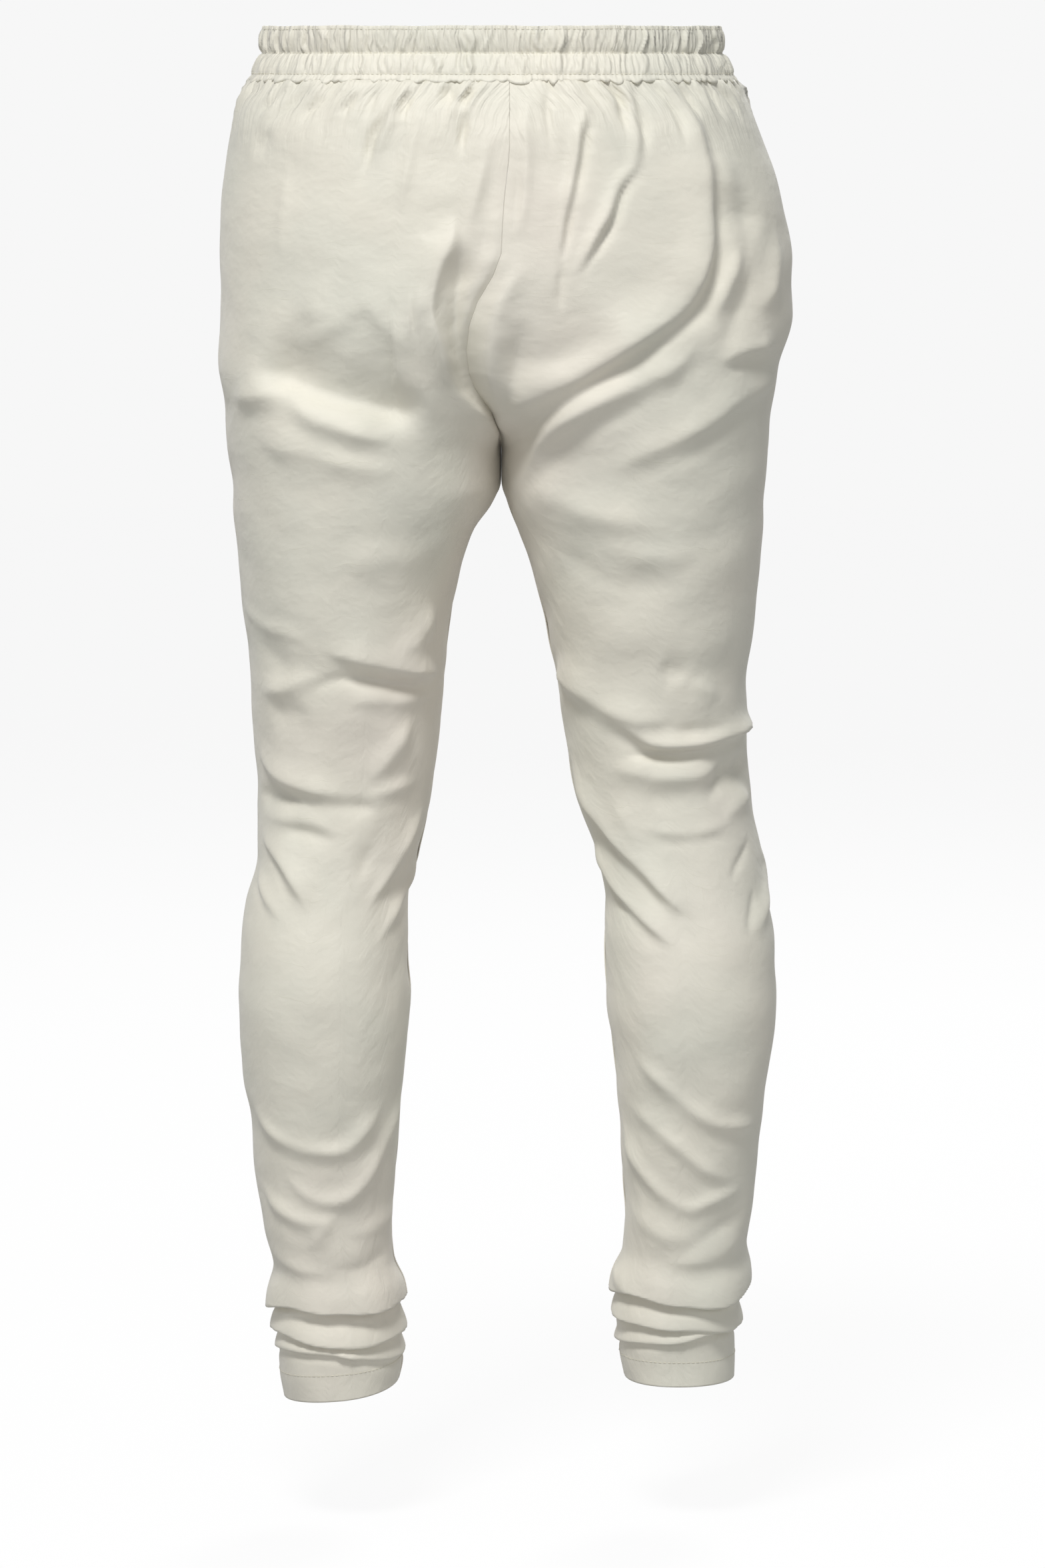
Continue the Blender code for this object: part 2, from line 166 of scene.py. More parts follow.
# Folds, as routes of x, z points on the back or the front of a leg, in mm. out is the height of the
# ridge, or the depth of a trough where it is negative. above and below are its half widths on its
# upper and lower side. hang is how far its crest droops, and under how deep it is tucked below
Fold = namedtuple("Fold", "leg face out above below hang under route")
FOLDS = (
    # seat
    Fold("left", "back", 6.5, 4.5, 16, 0, 0,
         ((29, -106), (26, -125), (34, -143), (39, -161), (40, -179), (33, -198), (23, -217),
          (11, -237), (0, -255), (-4, -271))),
    Fold("left", "back", -11.5, 11, 11, 0, 0,
         ((21, -124), (22, -143), (24, -161), (24, -182), (18, -203), (11, -221), (2, -239),
          (-4, -252))),
    Fold("left", "back", 2.2, 5, 5, 0, 0, ((2, -46), (4, -70), (10, -96), (17, -122))),
    Fold("left", "back", -16, 32, 13, 0, 0,
         ((166, -212), (140, -224), (114, -232), (86, -238), (62, -242), (44, -232))),
    Fold("left", "back", 3.6, 20, 9, 0, 0,
         ((144, -206), (112, -186), (86, -172), (73, -184), (55, -197), (42, -182))),
    Fold("left", "back", 3.4, 9, 9, 0, 0, ((47, -153), (51, -177), (54, -198))),
    Fold("left", "back", 2.4, 10, 10, 0, 0, ((110, -143), (118, -166), (131, -190))),
    Fold("left", "back", 4.4, 16, 7, 0, 0.6,
         ((180, -241), (162, -235), (144, -232), (126, -247), (107, -255), (84, -262), (60, -267))),
    Fold("left", "back", 3.0, 14, 8, 0, 0, ((165, -265), (133, -273), (97, -282), (60, -285))),
    Fold("left", "back", -3, 9, 9, 0, 0, ((-5, -54), (-3, -85), (2, -117), (10, -143), (16, -164))),
    Fold("left", "back", -4.2, 3.2, 3.2, 0, 0,
         ((65, -25), (73, -41), (81, -54), (86, -72), (92, -90))),
    Fold("left", "back", 2.4, 4, 4, 0, 0, ((61, -27), (69, -46), (77, -62), (82, -78))),
    Fold("left", "back", -3.4, 3.2, 3.2, 0, 0, ((57, -25), (60, -36), (63, -45))),
    Fold("left", "back", 2, 4, 4, 0, 0, ((48, -29), (53, -49), (58, -80), (64, -114))),
    Fold("left", "back", -3.8, 3.2, 3.2, 0, 0, ((40, -23), (30, -29), (20, -37))),
    Fold("left", "back", -3.8, 3.2, 3.2, 0, 0, ((15, -21), (17, -29), (19, -37))),
    Fold("left", "back", -4.2, 3.2, 3.2, 0, 0, ((19, -35), (20, -51), (21, -72))),
    Fold("left", "back", -3.4, 3.2, 3.2, 0, 0, ((80, -23), (83, -36), (88, -48))),
    Fold("left", "back", -3.4, 3.2, 3.2, 0, 0, ((91, -22), (97, -33), (106, -43))),
    Fold("left", "back", -3.4, 3.2, 3.2, 0, 0, ((106, -21), (115, -31), (126, -39), (135, -49))),
    Fold("left", "back", -3.8, 3.2, 3.2, 0, 0, ((120, -20), (131, -29), (144, -39), (158, -51))),
    Fold("left", "back", -3.4, 3.2, 3.2, 0, 0, ((134, -20), (146, -29), (163, -43))),
    Fold("left", "back", -2.4, 7, 7, 0, 0, ((151, -48), (157, -59), (166, -71))),
    Fold("left", "back", 1.4, 6, 6, 0, 0, ((140, -70), (143, -106), (146, -143))),
    Fold("right", "back", -3.4, 3.6, 3.6, 0, 0, ((-17, -20), (-18, -38), (-17, -57))),
    Fold("right", "back", 3.1, 4.5, 4.5, 0, 0,
         ((-26, -25), (-22, -46), (-24, -67), (-23, -91), (-18, -127))),
    Fold("right", "back", -2.5, 4, 4, 0, 0, ((-17, -70), (-16, -96), (-12, -127))),
    Fold("right", "back", -2.7, 3.2, 3.2, 0, 0, ((-40, -20), (-39, -38), (-40, -70))),
    Fold("right", "back", 3.9, 4, 4, 0, 0,
         ((-68, -31), (-61, -49), (-58, -70), (-52, -101), (-47, -127), (-43, -142))),
    Fold("right", "back", -3.9, 3.2, 3.2, 0, 0,
         ((-72, -38), (-65, -54), (-62, -72), (-55, -104), (-51, -127), (-46, -144))),
    Fold("right", "back", -2.2, 3.2, 3.2, 0, 0,
         ((-42, -141), (-47, -146), (-47, -158), (-48, -178))),
    Fold("right", "back", 4.2, 4.4, 4.4, 0, 0,
         ((-104, -70), (-96, -78), (-87, -91), (-78, -111), (-67, -130), (-54, -153))),
    Fold("right", "back", -3.9, 3.2, 3.2, 0, 0,
         ((-108, -74), (-91, -92), (-83, -114), (-71, -134), (-56, -156))),
    Fold("right", "back", -4.9, 3.2, 3.2, 0, 0, ((-85, -21), (-90, -38), (-94, -56))),
    Fold("right", "back", -4.9, 3.2, 3.2, 0, 0,
         ((-96, -19), (-101, -36), (-105, -51), (-104, -74))),
    Fold("right", "back", 3.1, 4, 4, 0, 0, ((-91, -21), (-97, -41), (-99, -59), (-95, -85))),
    Fold("right", "back", -3.8, 3.2, 3.2, 0, 0,
         ((-112, -19), (-120, -31), (-128, -46), (-132, -67))),
    Fold("right", "back", -4.2, 3.2, 3.2, 0, 0, ((-128, -19), (-136, -31), (-144, -48))),
    Fold("right", "back", -4.2, 3.2, 3.2, 0, 0, ((-144, -20), (-154, -31), (-162, -49))),
    Fold("right", "back", -3.8, 3.2, 3.2, 0, 0, ((-156, -20), (-164, -31), (-173, -48))),
    Fold("right", "back", 6.6, 20, 6, 0, 1.0,
         ((-126, -25), (-140, -54), (-146, -85), (-148, -111), (-146, -140), (-135, -166),
          (-114, -184), (-91, -200), (-65, -216), (-34, -233), (-13, -250), (-5, -266))),
    Fold("right", "back", -3.4, 6, 9, 0, 0,
         ((-152, -75), (-156, -106), (-155, -132), (-151, -158), (-140, -177), (-117, -195),
          (-91, -211), (-60, -229), (-34, -245), (-13, -264))),
    Fold("right", "back", 3.4, 12, 12, 0, 0, ((-153, -62), (-159, -83), (-165, -103))),
    Fold("right", "back", -5.0, 12, 16, 0, 0, ((-150, -115), (-169, -110), (-189, -115))),
    Fold("right", "back", 4.6, 8, 7, 0, 0,
         ((-172, -126), (-165, -148), (-156, -169), (-149, -189))),
    Fold("right", "back", -4, 9, 9, 0, 0, ((-181, -143), (-175, -164), (-167, -182), (-153, -203))),
    Fold("right", "back", 4, 9, 9, 0, 0, ((-197, -117), (-196, -143), (-191, -164), (-180, -183))),
    Fold("right", "back", 4.6, 10, 5, 1.0, 1.4,
         ((-198, -202), (-180, -201), (-165, -206), (-151, -218))),
    Fold("right", "back", 4.6, 15, 7, 0, 1.0,
         ((-198, -217), (-170, -237), (-151, -250), (-125, -264), (-96, -277), (-79, -287))),
    Fold("right", "back", 5.4, 12, 7, 0, 1.0,
         ((-141, -194), (-128, -211), (-104, -224), (-66, -242), (-39, -265), (-28, -288))),
    Fold("right", "back", 3.6, 10, 7, 0, 0,
         ((-91, -231), (-61, -247), (-37, -268), (-23, -289), (-13, -304))),
    Fold("right", "back", -5.5, 22, 14, 0, 0,
         ((-12, -214), (-30, -210), (-50, -205), (-72, -197), (-94, -186))),
    Fold("right", "back", -8, 9, 9, 0, 0,
         ((-20, -176), (-18, -196), (-14, -216), (-10, -236), (-6, -256))),
    # thighs
    Fold("right", "back", 3.2, 12, 10, 0, 0, ((-24, -296), (-74, -318), (-128, -326))),
    Fold("right", "back", 2.0, 9, 6, 0, 0, ((-70, -338), (-112, -347), (-150, -342))),
    Fold("right", "back", -2.0, 10, 10, 0, 0, ((-40, -338), (-80, -360), (-130, -368))),
    Fold("left", "back", 2.4, 14, 12, 0, 0, ((18, -326), (60, -346), (112, -350))),
    # left knee
    Fold("left", "back", 2, 5, 4, 0, 0, ((174, -381), (157, -396), (141, -400), (119, -408))),
    Fold("left", "back", -3, 16, 14, 0, 0, ((167, -402), (149, -418), (133, -425))),
    Fold("left", "back", 4.5, 9, 9, 0, 0, ((38, -379), (48, -397), (60, -410), (69, -420))),
    Fold("left", "back", 6.5, 14, 5, 2, 1.3,
         ((120, -410), (105, -414), (87, -418), (71, -422), (54, -426), (38, -429))),
    Fold("left", "back", -4.5, 4, 6, 0, 0,
         ((128, -440), (115, -433), (102, -430), (84, -431), (66, -435), (47, -438))),
    Fold("left", "back", 3.6, 8, 7, 0.5, 0, ((163, -443), (146, -439), (131, -432), (113, -426))),
    Fold("left", "back", -2.6, 12, 14, 0, 0, ((157, -455), (141, -455), (126, -447))),
    Fold("left", "back", 2.6, 8, 6, 0.5, 0, ((110, -447), (87, -446), (60, -447), (42, -443))),
    Fold("left", "back", 5.6, 12, 6, 1.4, 1,
         ((164, -483), (157, -493), (144, -502), (128, -507), (110, -511), (94, -513))),
    Fold("left", "back", 4.6, 8, 7, 0, 0, ((54, -455), (64, -475), (79, -496), (92, -511))),
    Fold("left", "back", 3.4, 7, 6, 0, 0, ((92, -515), (76, -511), (61, -507), (50, -503))),
    Fold("left", "back", -4, 6, 7, 0, 0, ((163, -516), (146, -515), (129, -518))),
    Fold("left", "back", -3.2, 5, 7, 0, 0, ((118, -522), (97, -520), (78, -523))),
    Fold("left", "back", -3.2, 6, 7, 0, 0, ((150, -539), (131, -539), (107, -545))),
    Fold("left", "back", 2.6, 7, 5, 0, 0, ((160, -530), (139, -531), (118, -535), (102, -542))),
    Fold("left", "back", 5, 9, 4.5, 1, 1, ((162, -542), (149, -555), (136, -576), (126, -597))),
    Fold("left", "back", 2.6, 6, 4, 0.5, 0.5, ((165, -562), (159, -583), (145, -602))),
    Fold("left", "back", 4.2, 6, 6, 0.5, 0.5, ((47, -522), (57, -539), (72, -567), (90, -596))),
    Fold("left", "back", 3.6, 6, 6, 0.4, 0.4, ((51, -554), (58, -575), (68, -593), (83, -618))),
    Fold("left", "back", -2.6, 9, 9, 0, 0, ((71, -525), (84, -551), (99, -577))),
    # right knee
    Fold("right", "back", 5, 12, 7, 1.2, 0.9,
         ((-44, -424), (-56, -437), (-71, -447), (-89, -456), (-109, -460), (-130, -456))),
    Fold("right", "back", -2.8, 9, 9, 0, 0, ((-112, -425), (-125, -424), (-136, -431))),
    Fold("right", "back", 2.4, 8, 7, 0, 0, ((-135, -431), (-146, -439), (-159, -446))),
    Fold("right", "back", 6.4, 7, 4.5, 2, 1.6,
         ((-83, -460), (-101, -470), (-114, -475), (-127, -476), (-146, -474), (-162, -471),
          (-177, -466), (-185, -459))),
    Fold("right", "back", -3.4, 5, 5, 0, 0, ((-118, -466), (-138, -468), (-164, -465))),
    Fold("right", "back", -4.6, 3.6, 5, 0, 0,
         ((-87, -485), (-104, -483), (-122, -482), (-140, -481), (-155, -479))),
    Fold("right", "back", 4.8, 9, 8, 0.8, 0.7,
         ((-79, -491), (-96, -496), (-113, -499), (-133, -499), (-152, -495), (-163, -486))),
    Fold("right", "back", -6, 9, 9, 0, 0, ((-180, -495), (-166, -499), (-155, -507), (-149, -525))),
    Fold("right", "back", 3, 8, 7, 0, 0, ((-179, -515), (-169, -522), (-160, -535))),
    Fold("right", "back", 2.2, 7, 4, 0.5, 0.7,
         ((-98, -535), (-119, -538), (-143, -538), (-169, -531))),
    Fold("right", "back", 6, 11, 5, 1.4, 1.2,
         ((-55, -491), (-63, -511), (-75, -530), (-92, -550), (-110, -568), (-126, -586),
          (-141, -599))),
    Fold("right", "back", 5.4, 8, 5, 1.4, 1.2,
         ((-67, -538), (-81, -566), (-92, -583), (-110, -601), (-131, -621))),
    Fold("right", "back", -2.4, 3.5, 3.5, 0, 0, ((-180, -545), (-170, -564), (-165, -576))),
    Fold("right", "back", 4, 8, 8, 0, 0, ((-187, -554), (-192, -569), (-190, -590), (-179, -612))),
    Fold("right", "back", -2.6, 4, 4, 0, 0, ((-183, -577), (-181, -593), (-176, -611))),
    Fold("right", "back", 2.6, 12, 10, 0, 0, ((-80, -515), (-96, -535), (-106, -556))),
    # under the calves
    Fold("left", "back", 3.7, 5.5, 5.5, 0.4, 0.2,
         ((168, -730), (153, -749), (136, -758), (120, -761), (104, -760), (92, -750), (74, -722))),
    Fold("left", "back", 3.6, 5.5, 5.5, 0.4, 0.2,
         ((146, -776), (133, -790), (119, -797), (104, -796), (91, -785), (80, -766), (64, -720))),
    Fold("left", "back", 3, 5.5, 5.5, 0.4, 0.2,
         ((164, -783), (150, -802), (133, -811), (116, -810), (104, -804))),
    Fold("left", "back", 2.3, 6, 6, 0.3, 0, ((107, -806), (118, -818), (128, -834))),
    Fold("left", "back", 2.5, 7, 6, 0.3, 0, ((70, -806), (86, -819), (106, -821))),
    Fold("left", "back", 2.7, 8, 7.2, 0.6, 0, ((158, -832), (136, -846), (108, -850))),
    Fold("left", "back", -2.4, 7, 7, 0, 0, ((72, -832), (92, -846), (116, -846))),
    Fold("right", "back", 3.7, 5.5, 5.5, 0.4, 0.2,
         ((-98, -693), (-112, -707), (-128, -722), (-146, -736), (-162, -743), (-186, -745))),
    Fold("right", "back", 3.2, 5.5, 5.5, 0.4, 0.2,
         ((-94, -726), (-113, -744), (-130, -758), (-146, -772), (-159, -780), (-174, -783))),
    Fold("right", "back", 3.7, 5.5, 5.5, 0.4, 0.2,
         ((-90, -738), (-99, -767), (-109, -782), (-122, -795), (-138, -802), (-152, -797),
          (-176, -788))),
    Fold("right", "back", 2.5, 7, 7.2, 0.4, 0, ((-96, -800), (-116, -820), (-146, -828))),
    Fold("right", "back", -2.4, 7, 7, 0, 0, ((-178, -806), (-156, -818), (-128, -838))),
    Fold("right", "back", 2.7, 8, 7.2, 0.6, 0, ((-176, -822), (-152, -838), (-118, -842))),
    # small tucks between the rings of the ankles
    Fold("left", "back", 2.4, 4, 3, 1.0, 0.6, ((156, -884), (139, -878), (125, -877), (108, -872))),
    Fold("left", "back", 1.6, 4, 3, 0.6, 0, ((114, -903), (104, -906), (90, -911))),
    Fold("right", "back", 2.6, 4, 3, 1.0, 0.8,
         ((-80, -850), (-92, -852), (-103, -861), (-116, -868))),
    Fold("right", "back", 1.6, 4, 3, 0.6, 0, ((-172, -874), (-150, -876), (-128, -872))),
    # the front: drag lines from the crotch, bent knees, slack over the ankles
    Fold("left", "front", 5.5, 14, 10, 0, 1.0, ((2, -236), (40, -222), (84, -206), (128, -196))),
    Fold("right", "front", 5.5, 14, 10, 0, 1.0,
         ((-10, -240), (-50, -226), (-96, -214), (-136, -206))),
    Fold("left", "front", 4.0, 12, 8, 0, 0.8, ((8, -268), (44, -262), (96, -252))),
    Fold("right", "front", 4.2, 12, 8, 0, 0.8, ((-18, -274), (-58, -262), (-112, -258))),
    Fold("left", "front", 4.0, 12, 9, 0, 0, ((12, -300), (60, -288), (126, -276))),
    Fold("right", "front", 4.0, 12, 9, 0, 0, ((-24, -304), (-70, -290), (-132, -284))),
    Fold("left", "front", -3.2, 12, 12, 0, 0, ((30, -318), (80, -312), (140, -296))),
    Fold("right", "front", -3.0, 12, 12, 0, 0, ((-36, -322), (-84, -318), (-140, -306))),
    Fold("left", "front", 3.2, 8, 8, 0, 0, ((30, -40), (36, -92), (30, -150))),
    Fold("right", "front", 3.2, 8, 8, 0, 0, ((-50, -40), (-58, -96), (-52, -150))),
    Fold("left", "front", 2.6, 10, 10, 0, 0, ((104, -34), (112, -80), (108, -120))),
    Fold("right", "front", 2.6, 10, 10, 0, 0, ((-112, -38), (-120, -84), (-116, -128))),
    Fold("left", "front", 4.2, 12, 6, 1.2, 1.2, ((44, -430), (86, -442), (132, -440), (164, -428))),
    Fold("right", "front", 4.2, 12, 6, 1.2, 1.2,
         ((-52, -436), (-96, -450), (-140, -446), (-172, -434))),
    Fold("left", "front", 5.2, 12, 6, 1.8, 1.6, ((46, -512), (82, -534), (122, -538), (160, -520))),
    Fold("right", "front", 5.2, 12, 6, 1.8, 1.6,
         ((-60, -516), (-100, -540), (-142, -542), (-178, -524))),
    Fold("left", "front", 4.6, 10, 6, 1.4, 1.2, ((58, -574), (92, -594), (130, -598), (166, -578))),
    Fold("right", "front", 4.6, 10, 6, 1.4, 1.2,
         ((-80, -580), (-114, -600), (-152, -602), (-188, -586))),
    Fold("left", "front", 3.2, 9, 6, 0.8, 0.6, ((60, -470), (84, -482), (112, -484))),
    Fold("right", "front", 3.2, 9, 6, 0.8, 0.6, ((-112, -486), (-142, -492), (-172, -484))),
    Fold("left", "front", 3.8, 10, 5, 1.2, 1.0, ((70, -742), (96, -764), (128, -768), (160, -748))),
    Fold("right", "front", 3.8, 10, 5, 1.2, 1.0,
         ((-92, -736), (-118, -758), (-150, -764), (-182, -746))),
    Fold("left", "front", 3.8, 9, 5, 1.2, 1.0, ((76, -796), (104, -814), (132, -812), (156, -796))),
    Fold("right", "front", 3.8, 9, 5, 1.2, 1.0,
         ((-96, -790), (-126, -810), (-154, -808), (-176, -796))),
    Fold("left", "front", 2.8, 8, 6, 0.8, 0, ((84, -838), (108, -846), (140, -842))),
    Fold("right", "front", 2.8, 8, 6, 0.8, 0, ((-102, -832), (-130, -842), (-160, -838))),
)

# How the height of a fold changes along its route and across it
FOLD_END_SHARE = 0.42  # share of its length over which each end fades
FOLD_END_MOST = 34.0  # and the longest such end, mm
FOLD_END_WIDTH = 0.6  # its width at the ends, as a share of the full width
FOLD_CREST_POWER = 1.7  # 2 is a bell, and less is a sharper crest
FOLD_WAVES = ((0.2, 13), (0.1, 5.7))  # unevenness: heights as shares, and lengths in mm a radian
FOLD_CALM_HEIGHT = 4.5  # higher folds than this, in mm, are less uneven
FOLD_PHASE = 1.7  # from one fold of the table to the next
TUCK_PLACE = 2.0  # below the crest, and its width, both as shares of the half width below
TUCK_WIDTH = 0.9

# Small pleats under the waistband, mm: the least value, and what a random draw adds to it
Draw = namedtuple("Draw", "least more")
PLEAT_LONG = Draw(10, 46)
PLEAT_WIDE = Draw(1.3, 1.2)
PLEAT_HIGH = Draw(1.9, 2.4)
PLEAT_APART = Draw(0.4, 1.8)
PLEAT_LONG_POWER = 2.2  # makes long pleats rarer
PLEAT_RIDGES = 0.6  # share of the pleats that stand out
PLEAT_TROUGH = -0.9  # height of the others, as a share
PLEAT_MARGIN = 3  # from the middle seams, mm
PLEAT_LEAN = -0.40  # sideways run for each mm down, at the middle seams
PLEAT_LEAN_DRAW = 0.36
PLEAT_LEAN_ENDS = 260  # distance from the side seam at which pleats no longer lean, mm
PLEAT_CREST_POWER = 1.6
PLEAT_SEEDS = {"left": 7, "right": 23}  # added to the gather seed

# Very shallow waves of the whole leg: how many, and the ranges of their random draws
CRUMPLES = 26
CRUMPLE_WAVES = (28, 90)  # mm
CRUMPLE_ANGLES = (-0.9, 0.9)
CRUMPLE_HEIGHTS = (0.04, 0.13)  # mm for a wave of CRUMPLE_SCALE
CRUMPLE_SCALE = 50
CRUMPLE_BENDS = (30, 70)  # mm
CRUMPLE_SEEDS = {"left": 1, "right": 2}

# The cloth beside the seat seam and the front seam, as distances from the seam, mm
SEAM_SHARED = 11.0  # both legs have the same lift nearer than this
SEAM_STRAIGHT = 12.0  # and are lifted straight to the back or the front
SEAM_TRENCH = 3.0  # half width of the trench in which the seam lies
TRENCH_DEPTH = 0.25  # under the waistband
TRENCH_DEEPER = 1.2  # and what is added from TRENCH_DEEPER_FROM down, over TRENCH_RUN
TRENCH_DEEPER_FROM = -110
TRENCH_RUN = 50
JOINED_RUN = 20  # heights below and above the crotch over which the two legs come together, mm
ABOVE_CROTCH_RUN = 45
SHARED_RUN = 22
HELD_LIFT = 0.35  # share of the lifts that is left where the waistband holds the cloth
HELD_RUN = 7
BACK_FROM = 10  # the drag of the seat seam begins this far back, and is whole BACK_RUN further
BACK_RUN = 50

# The roll of the right half over the left one along the seat seam, and how far the seam sinks
LAP_DEPTHS = (140, 168, 215, 240, 256)  # mm below the dividing stitch row
LAP_SHARES = (0, 1, 1, 0.5, 0)
Roll = namedtuple("Roll", "height from_seam width")
LAP_ROLLS = {"left": Roll(-4.0, 0, 13), "right": Roll(6.5, 11, 9)}
LAP_SINK = 5.5

# Profile of the waistband wall: how far out from the seam line and how high, in mm, and how much
# it takes of the upper and lower gathers and of the ruffle
Profile = namedtuple("Profile", "out z upper lower ruffle")
BAND_PROFILE = (
    Profile(-11.8, 17.8, 0.0, 0, 0),
    Profile(-11.0, 18.9, 0.2, 0, 0),
    Profile(-10.4, 18.9, 0.4, 0, 0),
    Profile(-9.9, 18.0, 0.5, 0, 0),
    Profile(-9.9, 16.6, 0.45, 0, 0),
    Profile(-9.4, 15.0, 0.8, 0, 0),
    Profile(-8.9, 12.6, 1.0, 0, 0),
    Profile(-8.6, 10.0, 1.0, 0, 0),
    Profile(-8.6, 7.4, 1.0, 0, 0),
    Profile(-8.7, 5.0, 1.0, 0, 0),
    Profile(-8.9, 3.0, 0.9, 0, 0),
    Profile(-9.4, 1.4, 0.6, 0.1, 0),
    Profile(-9.7, 0.3, 0.35, 0.2, 0),
    Profile(-9.0, -0.5, 0.2, 0.4, 0),
    Profile(-7.8, -1.1, 0.1, 0.7, 0),
    Profile(-6.9, -2.2, 0, 0.9, 0),
    Profile(-5.7, -4.0, 0, 1.0, 0),
    Profile(-4.5, -6.4, 0, 1.0, 0),
    Profile(-3.4, -8.8, 0, 1.0, 0),
    Profile(-2.5, -11.0, 0, 0.9, 0),
    Profile(-2.0, -12.8, 0, 0.7, 0),
    Profile(-2.0, -14.0, 0, 0.45, 0.1),
    Profile(-1.6, -15.0, 0, 0.4, 0.4),
    Profile(-0.2, -16.2, 0, 0.3, 0.7),
    Profile(1.0, -17.6, 0, 0.2, 1.0),
    Profile(1.3, -18.8, 0, 0.2, 1.0),
    Profile(0.7, -19.6, 0, 0.1, 1.0),
    Profile(-0.6, -19.3, 0, 0, 0.8),
    Profile(-2.0, -18.0, 0, 0, 0.3),
    Profile(-4.0, -13.0, 0, 0.3, 0),
    Profile(-7.8, -6.0, 0, 0.3, 0),
    Profile(-11.6, 1.0, 0.1, 0, 0),
    Profile(-12.2, 8.0, 0.2, 0, 0),
    Profile(-12.6, 15.0, 0.1, 0, 0),
)
BAND_OUTSIDE = range(3, 25)  # the places of the profile that lie on the outside
BAND_STITCH_ROWS = (0.2, -13.6, 16.8)  # heights of the rows of stitches through the waistband
STITCH_PROUD = 0.25  # how far a stitch's middle stands off the band, mm
HEM_STITCH_PROUD = 0.2
HEM_STITCH_IN = 2.0  # from the hem's upper edge down to its stitches


class ChuridarSizes(bpy.types.PropertyGroup):
    thickness: FloatProperty(
        name="Cloth thickness", description="Thickness of one layer of the cloth",
        default=0.0009, min=0.0004, max=0.0016, unit="LENGTH", precision=4)
    fold_depth: FloatProperty(
        name="Fold depth", description="Scale of all the folds of the legs",
        default=1.0, min=0.0, max=1.3, subtype="FACTOR")
    churi_depth: FloatProperty(
        name="Churi depth", description="Scale of the rings of spare length at the ankles",
        default=1.0, min=0.0, max=1.3, subtype="FACTOR")
    gather_depth: FloatProperty(
        name="Gather depth", description="Height of the gathers of the waistband",
        default=0.0029, min=0.0, max=0.004, unit="LENGTH", precision=4)
    gather_pitch: FloatProperty(
        name="Gather pitch", description="Mean distance between two gathers of the waistband",
        default=0.0044, min=0.002, max=0.012, unit="LENGTH", precision=4)
    gather_seed: IntProperty(
        name="Gather seed", description="Fixes the uneven spacing of the gathers",
        default=11, min=0)
    columns: IntProperty(
        name="Columns", description="Faces across one leg panel", default=126, min=40, max=130)
    stitch_pitch: FloatProperty(
        name="Stitch pitch", description="Distance between two stitches",
        default=0.0034, min=0.002, max=0.006, unit="LENGTH", precision=4)
    stitch_length: FloatProperty(
        name="Stitch length", description="Visible length of one stitch",
        default=0.0025, min=0.001, max=0.005, unit="LENGTH", precision=4)
    thread_width: FloatProperty(
        name="Thread width", description="Diameter of the sewing thread",
        default=0.00045, min=0.0002, max=0.001, unit="LENGTH", precision=5)
    floor_height: FloatProperty(
        name="Floor height", description="Height of the studio floor under the waistband",
        default=-1.03, unit="LENGTH")
    camera_distance: FloatProperty(
        name="Camera distance", description="Distance of the camera behind the garment",
        default=5.3, min=2.0, unit="LENGTH")


class ChuridarColours(bpy.types.PropertyGroup):
    cloth: FloatVectorProperty(
        name="Cloth", description="Main colour of the cotton", subtype="COLOR", size=3,
        default=(0.760, 0.728, 0.628))
    cloth_cool: FloatVectorProperty(
        name="Cool tint", description="Greenish patches in the cotton", subtype="COLOR", size=3,
        default=(0.712, 0.697, 0.604))
    cloth_warm: FloatVectorProperty(
        name="Warm tint", description="Rosy patches in the cotton", subtype="COLOR", size=3,
        default=(0.788, 0.722, 0.640))
    thread: FloatVectorProperty(
        name="Thread", description="Colour of the sewing thread", subtype="COLOR", size=3,
        default=(0.78, 0.75, 0.62))
    studio: FloatVectorProperty(
        name="Studio", description="Colour of the floor and the backdrop", subtype="COLOR", size=3,
        default=(0.42, 0.42, 0.42))


def smooth_step(value):
    """0 below 0, 1 above 1, and an easy curve between."""
    share = np.clip(value, 0.0, 1.0)
    return share * share * (3 - 2 * share)


def unit(vectors):
    return vectors / np.maximum(np.linalg.norm(vectors, axis=-1, keepdims=True), 1e-9)


def bell(away, width):
    return np.exp(-((away / width) ** 2))


def between(a, b, c, d, t):
    """A smooth curve from b to c, led by the values before and after them."""
    return 0.5 * (2 * b + (c - a) * t + (2 * a - 5 * b + 4 * c - d) * t**2
                  + (3 * b - a - 3 * c + d) * t**3)


def column(table, name):
    return np.array([getattr(row, name) for row in table], float)


def curve_through(table, name, z):
    """One column of a table of sections at the heights z, as a smooth curve without overshoot."""
    depth = -column(table, "z")
    values = column(table, name)
    slopes = np.diff(values) / np.diff(depth)
    same_way = slopes[:-1] * slopes[1:] > 0
    inner = 2 * slopes[:-1] * slopes[1:] / np.where(same_way, slopes[:-1] + slopes[1:], 1)
    tangents = np.concatenate([slopes[:1], np.where(same_way, inner, 0), slopes[-1:]])
    at = np.clip(-z, depth[0], depth[-1])
    i = np.clip(np.searchsorted(depth, at) - 1, 0, len(slopes) - 1)
    step = depth[i + 1] - depth[i]
    t = (at - depth[i]) / step
    return (
        (2 * t**3 - 3 * t**2 + 1) * values[i]
        + (t**3 - 2 * t**2 + t) * step * tangents[i]
        + (3 * t**2 - 2 * t**3) * values[i + 1]
        + (t**3 - t**2) * step * tangents[i + 1]
    )


